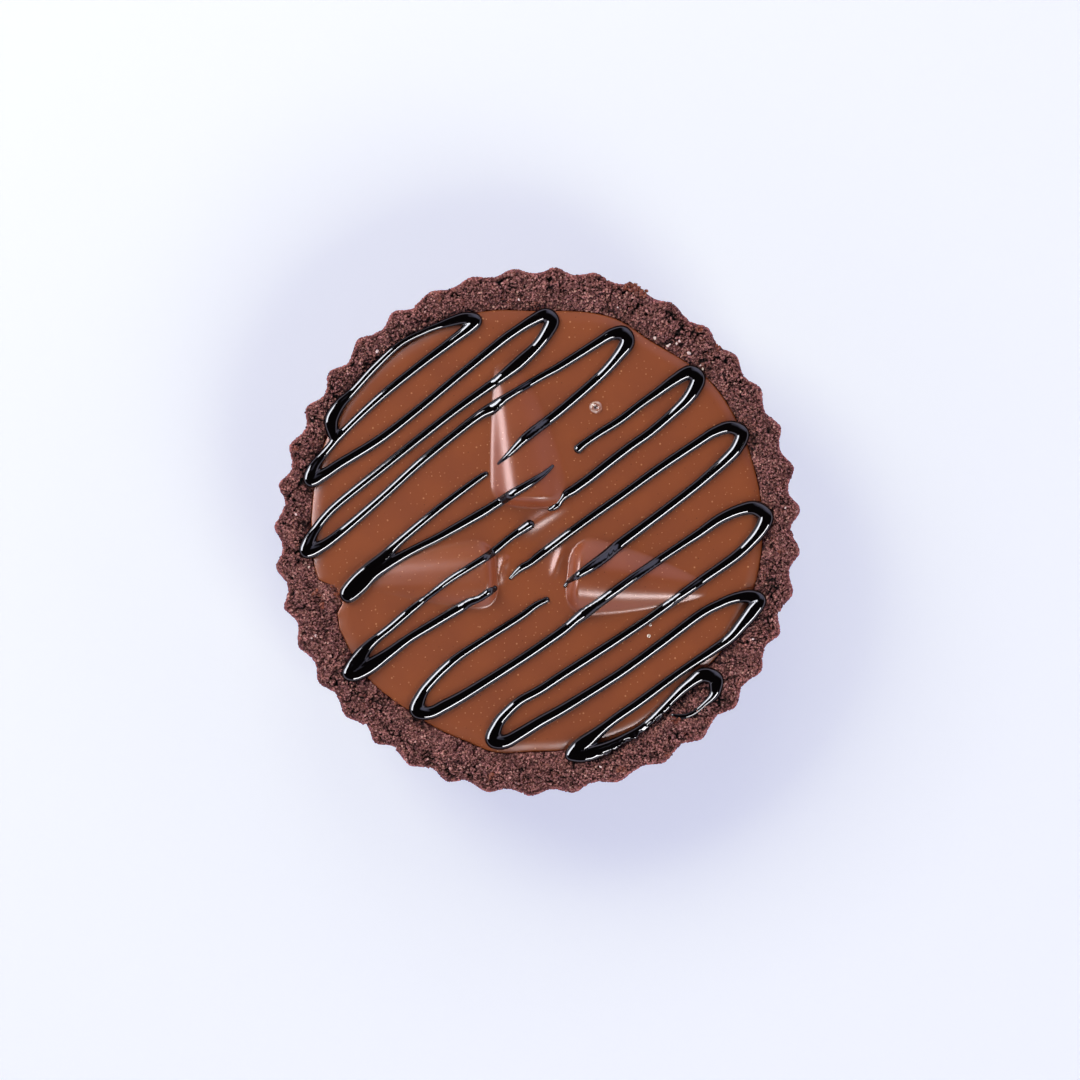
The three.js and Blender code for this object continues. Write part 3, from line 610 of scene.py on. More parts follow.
SUGAR_GRAINS = [
    (27.1, 36.2), (26.6, 35.7), (25.3, 35.6), (24.9, 35.3), (31.6, 30.9), (31.2, 31.6), (28.9, 33.9),
    (22.4, 36.8), (-42.9, -20.4), (-42.2, -19.9), (-43.5, -6.9), (15.4, 42.6), (-3.5, 44.1),
    (-30.5, 34.2), (-45.9, 3.2), (12.1, -44.9), (41.1, -20.6), (47.3, 4.4),
]
BIT_RADIUS = (0.2, 0.46)
SUGAR_RADIUS = (0.18, 0.32)
BIT_SIZES = {"Flattening": 0.75}
BIT_LIFT = 0.08                  # of a bit's middle above the rim's smooth top


def on_rim(x, y):
    """Height of the rim's smooth top at a point."""
    angle, radius = np.arctan2(y, x), np.hypot(x, y)
    return rim_height((rim_radius(angle) - radius) / (rim_radius(angle) - edge_radius(angle)))


def place_spots(name, spots, radii):
    """Points on the rim, each with the radius of the bit that is set there."""
    x, y = np.array(spots).T
    height = on_rim(x, y) + BIT_LIFT
    numbers = np.arange(len(spots))
    size = radii[0] + (radii[1] - radii[0]) * chance(numbers, 11) ** 1.5
    return new_object(name, np.stack([x, y, height], 1) * MM, [], {"size": size * MM})


bits = []
for x, y, spread, count in BROWNED_BITS:
    for number in range(count):
        away = spread * chance(number, x) ** 0.7
        turned = 2 * math.pi * chance(number, y + 40)
        bits.append((x + away * math.cos(turned), y + away * math.sin(turned)))

BROWNED = "642C24"
BROWNED_PALE = "9C5A4A"
SUGAR = "DCC0CC"
BIT_MOTTLE_SIZE = 0.5
BIT_CRAG_SIZE = 0.35
BIT_CRAG_HEIGHT = 0.5
KINDS_OF_BIT = [
    # name, places, radii, colours, gloss, finish
    ("browned_bits", bits, BIT_RADIUS, (BROWNED, BROWNED_PALE), 0.15, "browned_shortcrust"),
    ("sugar_grains", SUGAR_GRAINS, SUGAR_RADIUS, (SUGAR, SUGAR), 0.5, "baked_sugar"),
]
for name, spots, radii, colours, gloss, finish in KINDS_OF_BIT:
    piece = place_spots(name, spots, radii)
    bits_tree, given = new_tree("set_" + name, BIT_SIZES)
    granule = add(bits_tree, "GeometryNodeMeshIcoSphere", {"Radius": 1.0, "Subdivisions": 2})
    size = add(bits_tree, "GeometryNodeInputNamedAttribute", {"Name": "size"}, data_type="FLOAT")
    flat = add(bits_tree, "ShaderNodeCombineXYZ", {"X": 1.15, "Y": 0.85, "Z": given["Flattening"]})
    scale = add(bits_tree, "ShaderNodeVectorMath", {0: flat, "Scale": size}, operation="SCALE")
    tumble = add(bits_tree, "FunctionNodeRandomValue", {
        0: (0, 0, 0), 1: (0.6, 0.6, 2 * math.pi), "Seed": 3}, data_type="FLOAT_VECTOR")
    set_bits = add(bits_tree, "GeometryNodeInstanceOnPoints", {
        "Points": given["Geometry"], "Instance": granule.outputs["Mesh"], "Rotation": tumble,
        "Scale": scale})
    set_bits = add(bits_tree, "GeometryNodeRealizeInstances", {"Geometry": set_bits})
    craggy = add(bits_tree, "ShaderNodeTexNoise", {"Scale": 1 / (BIT_CRAG_SIZE * MM), "Detail": 1.0})
    craggy = add(bits_tree, "ShaderNodeMath", {0: craggy, 1: 0.5}, operation="SUBTRACT")
    craggy = add(bits_tree, "ShaderNodeMath", {0: craggy, 1: BIT_CRAG_HEIGHT * MM}, operation="MULTIPLY")
    push = add(bits_tree, "ShaderNodeVectorMath", {
        0: add(bits_tree, "GeometryNodeInputNormal"), "Scale": craggy}, operation="SCALE")
    set_bits = add(bits_tree, "GeometryNodeSetPosition", {"Geometry": set_bits, "Offset": push})

    # Browned dough is drier and redder; sugar that half melted in the oven has a dull gloss.
    material, tree, output = new_material(finish)
    where = add(tree, "ShaderNodeTexCoord").outputs["Object"]
    mottle = add(tree, "ShaderNodeTexNoise", {
        "Vector": where, "Scale": 1 / (BIT_MOTTLE_SIZE * MM), "Detail": 2.0})
    paler = add(tree, "ShaderNodeMapRange", {
        "Value": mottle.outputs["Fac"], "From Min": 0.45, "From Max": 0.7})
    body = add(tree, "ShaderNodeMix", {
        "Factor": paler, 6: linear(colours[0]), 7: linear(colours[1])}, data_type="RGBA")
    bump = add(tree, "ShaderNodeBump", {
        "Height": mottle.outputs["Fac"], "Strength": 0.6, "Distance": 0.1 * MM})
    shader = add(tree, "ShaderNodeBsdfPrincipled", {
        "Base Color": body.outputs[2], "Roughness": 0.45, "Specular IOR Level": gloss, "Normal": bump})
    tree.links.new(shader.outputs[0], output.inputs[0])
    end_tree(bits_tree, set_bits, material)
    apply_tree(piece, bits_tree, BIT_SIZES)
    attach(piece, "root")
    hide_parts("crust")


# ---- ganache ----
# Milk chocolate ganache, poured into the case and set. The back of a spoon has lifted three soft
# swooshes in its middle: each rises steeply at its inner end and fades out along its length.
GANACHE_LEVEL = CASE_HEIGHT - 1
EDGE_ROUNDING = 2.6
# How far the ganache drops at its edge: [angle in degrees, millimetres].
EDGE_DROP = [[0, 0.8], [60, 0.6], [100, 0.4], [185, 0.4], [198, 0.12], [212, 0.4], [230, 0.4], [260, 0.75],
             [300, 0.85]]
SURFACE_CELLS = 300
# end and tip are where a swoosh starts and fades out, and height is that of its inner end. left and
# right are its flanks, seen along it: width at the end, width at the tip, how late it narrows. skew
# is how far its inner end stands off square.
SWOOSHES = [
    {"end": (-1.9, 4.6), "tip": (-6.6, 32.0), "left": (6.9, 1.7, 1.3), "right": (8.8, 3.6, 2.0),
     "height": 3.2, "fade": 1.0, "skew": 0.22},
    {"end": (-7.6, -8.6), "tip": (-31.5, -9.6), "left": (6.8, 2.0, 1.4), "right": (7.6, 2.4, 1.8),
     "height": 2.5, "fade": 1.3, "skew": 0},
    {"end": (5.9, -8.7), "tip": (32.5, -11.6), "left": (8.4, 2.0, 1.6), "right": (7.6, 0.9, 1.6),
     "height": 3.5, "fade": 1.1, "skew": 0},
]
SWOOSH_END = 2.2                 # length of the steep inner end
SWOOSH_BLUNT = 3.6               # how far the inner end falls back at its sides
# Small folds that the spoon left between the swooshes: the points of the ridge, its height and width.
FOLDS = [
    ([(5.2, -2.6), (3.9, -5.8), (2.9, -9.2)], 0.34, 0.75),
    ([(-3.2, -0.1), (1.6, 2.9), (6.6, 5.8)], 0.43, 1.25),
    ([(-1.4, 5.0), (0.6, 5.4), (2.6, 5.1)], 0.35, 0.6),
    ([(-5.6, -4.6), (-6.9, -7.0), (-7.3, -10.4)], 0.55, 0.8),
]
DIMPLE = {"centre": (0.2, -2.4), "radius": 4.2, "depth": 0.6}


def swoosh_height(x, y):
    """Height of the swooshes, folds and dimple over the level of the ganache."""
    highest = np.zeros(np.broadcast(x, y).shape)
    for swoosh in SWOOSHES:
        along = np.subtract(swoosh["tip"], swoosh["end"])
        length = math.hypot(*along)
        along = along / length
        from_x, from_y = x - swoosh["end"][0], y - swoosh["end"][1]
        run = from_x * along[0] + from_y * along[1]
        aside = from_y * along[0] - from_x * along[1]
        share = np.clip(run / length, 0, 1)
        widths = [swoosh[side][0] + (swoosh[side][1] - swoosh[side][0]) * share ** swoosh[side][2]
                  for side in ("left", "right")]
        off = np.minimum(1, np.abs(aside) / np.where(aside > 0, *widths))
        from_end = run - swoosh["skew"] * aside - SWOOSH_BLUNT * off ** 4
        rise = 1 - (1 - np.clip(from_end / SWOOSH_END, 0, 1)) ** 2
        dome = (1 - off ** 3) ** 2 * (1 - share ** swoosh["fade"])
        highest = np.hypot(highest, swoosh["height"] * dome * rise)
    for points, height, width in FOLDS:
        nearest, way = np.full(highest.shape, 1e9), np.zeros(highest.shape)
        for number, ((ax, ay), (bx, by)) in enumerate(zip(points, points[1:])):
            length = (bx - ax) ** 2 + (by - ay) ** 2
            share = np.clip(((x - ax) * (bx - ax) + (y - ay) * (by - ay)) / length, 0, 1)
            distance = np.hypot(x - ax - share * (bx - ax), y - ay - share * (by - ay))
            way = np.where(distance < nearest, (number + share) / (len(points) - 1), way)
            nearest = np.minimum(nearest, distance)
        ridge = height * 4 * way * (1 - way) * np.exp(-(nearest / width) ** 2)
        highest = highest + ridge * np.exp(-highest)
    from_dimple = np.hypot(x - DIMPLE["centre"][0], y - DIMPLE["centre"][1]) / DIMPLE["radius"]
    return highest - DIMPLE["depth"] * np.exp(-from_dimple ** 2)


def ganache_height(x, y):
    """Height of the top of the ganache at a point."""
    angle = np.arctan2(y, x)
    inside = edge_radius(angle) - np.hypot(x, y)
    drop = around_circle(EDGE_DROP, angle) * np.maximum(0, 1 - np.maximum(0, inside) / EDGE_ROUNDING) ** 2
    return GANACHE_LEVEL - drop + swoosh_height(x, y)


# A square of cells is drawn out to the round of the case, so that the cells stay even.
side = np.linspace(-1, 1, SURFACE_CELLS + 1)
u, v = (grid.ravel() for grid in np.meshgrid(side, side, indexing="ij"))
far = np.maximum(np.abs(u), np.abs(v))
safe = np.maximum(far, 1e-9)
beside = np.abs(u) >= np.abs(v)
octant = np.where(beside, v / safe, u / safe) * np.pi / 4
turn = np.where(beside, np.where(u >= 0, octant, np.pi - octant),
                np.where(v >= 0, np.pi / 2 - octant, 3 * np.pi / 2 + octant))
reach = far * (edge_radius(turn) - JOINT_GAP / 2)
x, y = reach * np.cos(turn), reach * np.sin(turn)
top = np.stack([x, y, ganache_height(x, y)], 1)

wide = SURFACE_CELLS + 1
cell = np.arange(wide * wide).reshape(wide, wide)
faces = np.stack([cell[:-1, :-1], cell[1:, :-1], cell[1:, 1:], cell[:-1, 1:]], -1).reshape(-1, 4).tolist()
rim_line = np.concatenate([cell[:-1, 0], cell[-1, :-1], cell[:0:-1, -1], cell[0, :0:-1]])
rim_turn = turn[rim_line]
points = [top]
above = rim_line
for radius, height in ((edge_radius(rim_turn) - JOINT_GAP / 2, HOLLOW_SLOPE_TOP),
                       (0 * rim_turn + HOLLOW_BASE_RADIUS - JOINT_GAP / 2, CASE_FLOOR + JOINT_GAP / 2)):
    below = sum(map(len, points)) + np.arange(len(rim_line))
    points.append(np.stack([radius * np.cos(rim_turn), radius * np.sin(rim_turn), 0 * radius + height], 1))
    faces += np.stack([below, np.roll(below, -1), np.roll(above, -1), above], -1).tolist()
    above = below
foot = sum(map(len, points))
points.append(np.array([[0, 0, CASE_FLOOR + JOINT_GAP / 2]]))
faces += [(foot, int(b), int(a)) for a, b in zip(above, np.roll(above, -1))]
ganache = new_object("ganache_filling", np.concatenate(points) * MM, faces)
ganache.data.shade_smooth()

# Milk chocolate ganache: cocoa butter and cream, set to a satin skin, with specks of fat and air
# at its surface, some paler and a few darker than the rest.
GANACHE_COLOUR = "8F4A2E"
GANACHE_DARKER = "87452D"
GANACHE_SPECK = "D08F6E"
GANACHE_DARK_SPECK = "54261C"
# Each kind of speck: colour, the spacing of the cells it is drawn in, its radius, how rare it is.
SPECKS = [(GANACHE_SPECK, 1.5, 0.13, 0.45), (GANACHE_SPECK, 3.4, 0.2, 0.6),
          (GANACHE_DARK_SPECK, 2.6, 0.12, 0.7)]
GANACHE_CLOUD_SIZE = 9
GANACHE_RIPPLE_SIZE = 1.6

satin, tree, output = new_material("satin_milk_ganache")
where = add(tree, "ShaderNodeTexCoord").outputs["Object"]
clouds = add(tree, "ShaderNodeTexNoise", {
    "Vector": where, "Scale": 1 / (GANACHE_CLOUD_SIZE * MM), "Detail": 3.0})
cloud = add(tree, "ShaderNodeMapRange", {
    "Value": clouds.outputs["Fac"], "From Min": 0.35, "From Max": 0.65})
colour = add(tree, "ShaderNodeMix", {
    "Factor": cloud, 6: linear(GANACHE_DARKER), 7: linear(GANACHE_COLOUR)}, data_type="RGBA")
for speck, spacing, size, rare in SPECKS:
    cells = add(tree, "ShaderNodeTexVoronoi", {"Vector": where, "Scale": 1 / (spacing * MM)},
                voronoi_dimensions="2D")
    near = add(tree, "ShaderNodeMapRange", {
        "Value": cells.outputs["Distance"], "From Min": 0.6 * size / spacing, "From Max": size / spacing,
        "To Min": 0.8, "To Max": 0.0})
    pick = add(tree, "ShaderNodeSeparateColor", {0: cells.outputs["Color"]})
    some = add(tree, "ShaderNodeMath", {0: pick.outputs[0], 1: rare}, operation="GREATER_THAN")
    some = add(tree, "ShaderNodeMath", {0: some, 1: pick.outputs[1]}, operation="MULTIPLY")
    mask = add(tree, "ShaderNodeMath", {0: near, 1: some}, operation="MULTIPLY")
    colour = add(tree, "ShaderNodeMix", {"Factor": mask, 6: colour.outputs[2], 7: linear(speck)},
                 data_type="RGBA")
ripple = add(tree, "ShaderNodeTexNoise", {
    "Vector": where, "Scale": 1 / (GANACHE_RIPPLE_SIZE * MM), "Detail": 2.0})
bump = add(tree, "ShaderNodeBump", {
    "Height": ripple.outputs["Fac"], "Strength": 0.25, "Distance": 0.05 * MM})
shader = add(tree, "ShaderNodeBsdfPrincipled", {
    "Base Color": colour.outputs[2], "Roughness": 0.3, "IOR": 1.46,
    "Specular IOR Level": 0.36, "Normal": bump})
tree.links.new(shader.outputs[0], output.inputs[0])
ganache.data.materials.append(satin)
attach(ganache, "root")
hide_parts("filling")


# ---- bubbles ----
# Air that rose through the ganache and stopped under its skin: low glassy blisters, the largest with a
# pale ring round a sunken middle. The paleness is partly a painted highlight, and the dark middle a painted
# reflection.
BUBBLES = [(11.2, 23.6, 1.25), (21.3, -20.0, 0.4), (21.6, -17.9, 0.32)]
# The section of a bubble from its middle out: [share of its radius, height as a share of it].
BUBBLE_SECTION = [(0.15, 0.16), (0.28, 0.2), (0.38, 0.3), (0.48, 0.37), (0.58, 0.38), (0.7, 0.34),
                  (0.82, 0.24), (0.92, 0.12), (1.05, -0.1)]
BUBBLE_MIDDLE_RISE = 0.15
BUBBLE_ROOT = 0.4                # how deep a bubble reaches, as a share of its radius
BUBBLE_COLUMNS = 32

bubble_points, bubble_faces = [], []
for x, y, radius in BUBBLES:
    level = float(ganache_height(np.array(x), np.array(y)))
    base = len(bubble_points)
    bubble_points.append((x, y, level - BUBBLE_ROOT * radius))
    for share, rise in reversed(BUBBLE_SECTION):
        for angle in columns(BUBBLE_COLUMNS):
            out_x, out_y = share * radius * math.cos(angle), share * radius * math.sin(angle)
            bubble_points.append((x + out_x, y + out_y, level + rise * radius))
    bubble_points.append((x, y, level + BUBBLE_MIDDLE_RISE * radius))
    bubble_faces += [tuple(base + i for i in face)
                     for face in ring_faces([BUBBLE_COLUMNS] * len(BUBBLE_SECTION))]
ring = [1.05] + [share for share, rise in reversed(BUBBLE_SECTION) for _ in range(BUBBLE_COLUMNS)] + [0]
bubbles = new_object("ganache_bubbles", np.array(bubble_points) * MM, bubble_faces,
                     {"ring": ring * len(BUBBLES)})
bubbles.data.shade_smooth()

# A film of cocoa butter over air: paler than the ganache, and glossier, with a dark sunken middle. Its
# near-white colour is partly a painted highlight, and its middle is painted dark as a painted reflection.
BUBBLE_FILM_AND_HIGHLIGHT = "E4D2D6"
# Painted reflection: the dark colour laid in a bubble's sunken middle.
BUBBLE_MIDDLE_DARK_REFLECTION = "5A3A34"
BUBBLE_MOTTLE_SIZE = 1.1
film, tree, output = new_material("cocoa_butter_film_and_painted_light")
where = add(tree, "ShaderNodeTexCoord").outputs["Object"]
mottle = add(tree, "ShaderNodeTexNoise", {
    "Vector": where, "Scale": 1 / (BUBBLE_MOTTLE_SIZE * MM), "Detail": 1.0})
ring_value = add(tree, "ShaderNodeAttribute", attribute_name="ring").outputs["Fac"]
# Partly painted highlight: the near-white film colour, faded toward the bubble's outer edge.
pale = add(tree, "ShaderNodeMapRange", {
    "Value": mottle.outputs["Fac"], "From Min": 0.4, "From Max": 0.62, "To Min": 0.12, "To Max": 0.9})
thin = add(tree, "ShaderNodeMapRange", {"Value": ring_value, "From Min": 0.75, "From Max": 1.0,
                                        "To Min": 1.0, "To Max": 0.2})
pale = add(tree, "ShaderNodeMath", {0: pale, 1: thin}, operation="MULTIPLY")
body = add(tree, "ShaderNodeMix", {
    "Factor": pale, 6: linear(GANACHE_COLOUR), 7: linear(BUBBLE_FILM_AND_HIGHLIGHT)}, data_type="RGBA")
# Painted reflection: the sunken middle is painted dark, as the dark studio above would show in it.
sunken = add(tree, "ShaderNodeMapRange", {"Value": ring_value, "From Min": 0.26, "From Max": 0.4,
                                          "To Min": 1.0, "To Max": 0.0})
body = add(tree, "ShaderNodeMix", {
    "Factor": sunken, 6: body.outputs[2], 7: linear(BUBBLE_MIDDLE_DARK_REFLECTION)}, data_type="RGBA")
shader = add(tree, "ShaderNodeBsdfPrincipled", {
    "Base Color": body.outputs[2], "Roughness": 0.1, "IOR": 1.5})
tree.links.new(shader.outputs[0], output.inputs[0])
bubbles.data.materials.append(film)
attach(bubbles, "root")
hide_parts("filling")


# ---- syrup ----
# Thick dark chocolate syrup, drizzled to and fro from a bag in six runs. It stands up from the
# ganache in a round bead, swells where it turns back, and pulls out thin where a run ends.
# Each run: the points that it passes through, and its width there: x, y, width.
SYRUP_RUNS = [
    [(-38.7, 17.9, 1.7), (-39.2, 21.1, 2.6), (-37.5, 24.2, 2.0), (-35.2, 26.5, 1.4), (-30.9, 31.2, 1.3),
     (-26.1, 35.6, 1.05), (-21.3, 38.1, 1.0), (-18.5, 39.2, 1.2), (-16.2, 40.0, 1.7), (-13.7, 40.6, 2.1),
     (-11.7, 40.2, 2.3), (-12.8, 38.8, 2.1), (-16.2, 36.2, 1.7), (-22.3, 31.6, 1.5), (-29.9, 25.5, 1.5),
     (-36.6, 19.2, 1.35), (-41.3, 13.9, 1.5), (-42.9, 11.6, 2.1), (-43.0, 9.7, 2.7), (-40.4, 10.9, 2.1),
     (-37.5, 12.8, 1.9), (-29.9, 17.5, 1.7), (-22.3, 23.4, 1.5), (-14.7, 29.7, 1.5), (-7.0, 36.0, 1.7),
     (-3.2, 38.7, 1.7), (-0.4, 40.4, 2.1), (1.7, 41.3, 2.3), (2.9, 40.0, 2.6), (1.7, 37.5, 2.3),
     (-0.2, 35.0, 2.1), (-3.2, 32.2, 2.4), (-5.5, 30.3, 2.1), (-8.0, 28.4, 1.7), (-14.7, 23.6, 1.5),
     (-22.3, 17.7, 1.5), (-29.9, 11.6, 1.5), (-37.5, 5.5, 1.5), (-40.4, 2.7, 1.5), (-42.3, 0.2, 1.6),
     (-43.6, -2.1, 2.3), (-43.7, -3.8, 2.9), (-41.0, -2.9, 2.1), (-37.5, -0.4, 1.7), (-29.9, 6.1, 1.5),
     (-22.3, 13.0, 1.5), (-14.7, 19.2, 1.5), (-10.9, 22.1, 1.7), (-8.6, 23.4, 2.1), (-7.0, 24.6, 1.7),
     (-5.1, 25.9, 1.3), (0.6, 29.3, 1.3), (4.4, 31.4, 1.5), (12.0, 36.2, 1.7), (14.2, 37.5, 2.1),
     (16.4, 37.8, 2.5), (17.2, 36.0, 2.7), (15.6, 33.5, 2.1), (12.0, 29.5, 1.7), (4.4, 22.9, 1.7),
     (-1.3, 18.5, 1.7), (-3.2, 16.8, 1.4), (-5.1, 14.9, 0.95), (-7.4, 12.8, 0.35)],
    [(-9.7, 10.9, 0.85), (-11.8, 9.5, 1.15), (-18.5, 4.4, 1.35), (-26.1, -1.9, 1.5), (-29.0, -4.8, 2.0),
     (-31.2, -7.1, 3.1), (-33.3, -9.3, 3.8), (-35.0, -11.0, 3.7), (-35.9, -12.0, 3.2), (-34.0, -10.6, 2.8),
     (-30.7, -7.8, 2.4), (-26.1, -5.0, 1.7), (-22.3, -3.0, 1.5), (-18.5, -1.1, 1.5), (-10.9, 3.2, 1.7),
     (-8.0, 5.0, 1.5), (-4.2, 7.4, 1.5), (-1.3, 9.1, 1.3), (1.5, 11.0, 0.8), (3.0, 12.4, 0.45)],
    [(7.9, 15.7, 1.6), (9.2, 16.8, 1.3), (12.0, 18.7, 1.4), (15.8, 21.1, 1.5), (19.6, 24.0, 1.5),
     (23.4, 26.7, 1.7), (26.3, 28.8, 2.1), (29.1, 30.3, 2.5), (30.7, 29.1, 2.7), (29.9, 26.9, 2.5),
     (28.2, 24.6, 2.1), (25.3, 21.9, 1.7), (21.5, 18.7, 1.7), (17.7, 16.0, 1.7), (13.9, 13.1, 1.7),
     (10.1, 10.1, 1.7), (7.2, 8.0, 1.7), (5.6, 7.0, 1.5), (4.7, 5.9, 0.6), (4.0, 5.0, 1.0),
     (3.1, 4.4, 0.9), (2.4, 4.1, 0.35)],
    [(-1.4, 1.2, 1.7), (-2.6, 0.4, 1.5), (-5.1, -1.3, 1.2), (-8.9, -4.4, 1.3), (-12.8, -6.9, 1.2),
     (-16.6, -9.3, 1.15), (-20.4, -12.2, 1.0), (-22.3, -13.7, 1.15), (-25.1, -16.0, 1.5),
     (-28.0, -18.5, 1.5), (-30.9, -20.8, 1.6), (-33.1, -23.0, 2.3), (-34.4, -24.8, 2.8),
     (-35.6, -26.5, 2.6), (-36.0, -27.2, 2.2), (-34.8, -27.2, 2.9), (-33.0, -26.4, 3.0),
     (-30.9, -25.2, 2.7), (-28.0, -23.2, 2.1), (-24.2, -20.4, 1.7), (-20.4, -18.1, 1.7),
     (-16.6, -15.8, 1.7), (-14.7, -14.7, 1.7), (-12.8, -13.5, 1.5), (-10.9, -12.8, 1.1),
     (-9.0, -11.5, 1.3), (-8.0, -10.9, 0.8)],
    [(-5.1, -9.0, 0.45), (-3.6, -7.5, 0.95), (-2.6, -6.8, 1.3), (-1.3, -6.1, 1.2), (0.6, -4.6, 1.5),
     (8.2, 1.1, 1.5), (15.8, 6.5, 1.5), (23.4, 12.0, 1.6), (31.0, 17.1, 1.7), (33.9, 18.9, 1.9),
     (36.8, 19.8, 2.3), (39.1, 18.7, 2.5), (38.3, 16.2, 2.3), (36.4, 13.9, 2.1), (31.0, 9.1, 1.7),
     (23.4, 3.2, 1.7), (15.8, -2.5, 1.9), (13.0, -4.8, 1.9), (10.1, -6.9, 1.7), (7.8, -8.4, 1.15),
     (6.3, -9.5, 0.9), (5.3, -10.5, 0.4)],
    [(1.9, -13.1, 0.95), (-0.4, -14.3, 1.15), (-3.2, -16.4, 1.3), (-10.9, -21.3, 1.35),
     (-14.7, -23.8, 1.5), (-17.5, -26.1, 1.7), (-20.0, -28.6, 1.7), (-21.9, -31.0, 1.9),
     (-22.9, -34.1, 2.8), (-20.4, -34.7, 2.3), (-17.5, -33.3, 2.3), (-14.7, -31.8, 2.1),
     (-10.9, -29.5, 1.9), (-3.2, -24.6, 1.7), (4.4, -19.4, 1.7), (7.2, -17.1, 1.7), (9.1, -15.6, 2.1),
     (12.0, -13.5, 1.7), (19.6, -8.0, 1.5), (27.2, -2.9, 1.5), (31.0, -0.4, 1.7), (34.9, 2.3, 1.9),
     (38.7, 4.0, 2.1), (41.5, 4.4, 2.5), (43.6, 2.9, 2.7), (42.9, 0.6, 2.5), (41.0, -1.9, 2.1),
     (37.7, -5.0, 1.9), (31.0, -9.7, 1.7), (23.4, -15.2, 1.5), (19.6, -17.9, 1.5), (12.0, -22.9, 1.7),
     (4.4, -27.8, 1.7), (0.6, -30.3, 1.7), (-3.2, -32.4, 1.7), (-6.1, -35.0, 1.9), (-7.6, -37.0, 2.1),
     (-8.4, -39.7, 2.8), (-6.1, -40.2, 2.5), (-3.2, -38.7, 2.3), (0.6, -36.4, 2.1), (4.4, -34.3, 2.0),
     (8.2, -32.0, 1.9), (15.8, -27.2, 1.7), (23.4, -21.7, 1.7), (31.0, -16.0, 1.7), (34.9, -13.9, 1.7),
     (37.7, -12.8, 1.9), (40.6, -12.4, 2.3), (42.4, -13.2, 2.4), (41.0, -15.4, 2.7), (39.0, -17.9, 2.3),
     (36.8, -20.4, 1.9), (33.9, -22.5, 1.7), (27.2, -27.0, 1.5), (19.6, -32.6, 1.7), (15.8, -35.2, 1.7),
     (13.0, -37.3, 1.8), (10.6, -39.2, 2.4), (8.6, -40.7, 2.8), (6.9, -42.1, 2.4), (6.3, -42.9, 1.6),
     (8.2, -42.9, 2.3), (10.3, -42.4, 2.7), (13.1, -41.4, 2.4), (15.2, -40.4, 2.0), (17.0, -39.4, 1.7),
     (19.2, -38.1, 1.4), (21.1, -36.7, 1.4), (23.3, -34.7, 1.6), (25.3, -32.6, 1.5), (27.3, -30.6, 1.8),
     (29.6, -28.7, 2.1), (31.7, -27.4, 2.7), (34.0, -28.2, 2.8), (34.0, -30.3, 2.1), (33.5, -31.5, 1.5),
     (32.0, -32.9, 0.9), (30.4, -34.3, 0.85), (28.6, -35.2, 0.8), (27.0, -35.3, 0.7), (25.8, -35.0, 0.4)],
]
SYRUP_RAGGED = (18, 12)          # the last run creeps into the crumb here, in points before its end
SYRUP_SIZES = {"Step": 0.12 * MM, "Voxel": 0.19 * MM, "Ragged depth": 1.2 * MM, "Ragged size": 1.5 * MM}
SYRUP_HEIGHT = 0.85              # of the bead over its half width
SYRUP_FALL = 0.65                # how far it sinks toward the ganache where it lies on the rim
SYRUP_FLAT = (0.75, 0.5)         # a bead rises freely to the first height, then at most by the second
SYRUP_LEVEL = 0.75               # how level a bead stays across a slope
SYRUP_SETTLING = 8               # passes that smooth its skin
SYRUP_EVENING = 24               # passes that even out its thickness along a bead
SYRUP_SPREAD = 0.58              # how much wider than its list a bead is laid, since it draws in


def syrup_ground(x, y):
    """What the syrup lies on: ganache, crust, and a smooth bridge over the groove between them."""
    angle, radius = np.arctan2(y, x), np.hypot(x, y)
    edge = edge_radius(angle)
    onto = smooth((radius - edge + EDGE_ROUNDING) / (2 * EDGE_ROUNDING))
    over_rim = CASE_HEIGHT - SYRUP_FALL * (rim_radius(angle) - radius) / (rim_radius(angle) - edge)
    flat = GANACHE_LEVEL + swoosh_height(x, y)
    return flat + onto * (over_rim - flat)


drizzle, given = new_tree("lay_syrup", SYRUP_SIZES)
width = add(drizzle, "GeometryNodeInputNamedAttribute", {"Name": "width"}, data_type="FLOAT")
ragged = add(drizzle, "GeometryNodeInputNamedAttribute", {"Name": "ragged"}, data_type="FLOAT")

# The run as a smooth curve, then as drops so close that they run together.
route = add(drizzle, "GeometryNodeMeshToCurve", {"Mesh": given["Geometry"]})
route = add(drizzle, "GeometryNodeCurveSplineType", {"Curve": route}, spline_type="CATMULL_ROM")
route = add(drizzle, "GeometryNodeResampleCurve", {"Curve": route, "Length": given["Step"]}, mode="LENGTH")
drops = add(drizzle, "GeometryNodeCurveToPoints", {"Curve": route}, mode="EVALUATED")
half = add(drizzle, "ShaderNodeMath", {0: width, 1: 0.5}, operation="MULTIPLY")
pooled = add(drizzle, "GeometryNodePointsToVolume", {
    "Points": drops.outputs["Points"], "Voxel Size": given["Voxel"], "Radius": half},
    resolution_mode="VOXEL_SIZE")
skin = add(drizzle, "GeometryNodeVolumeToMesh", {
    "Volume": pooled, "Threshold": 0.5}, resolution_mode="GRID")
place = add(drizzle, "GeometryNodeInputPosition")
settled = add(drizzle, "GeometryNodeBlurAttribute", {
    "Value": place, "Iterations": SYRUP_SETTLING}, data_type="FLOAT_VECTOR")
skin = add(drizzle, "GeometryNodeSetPosition", {"Geometry": skin, "Position": settled})

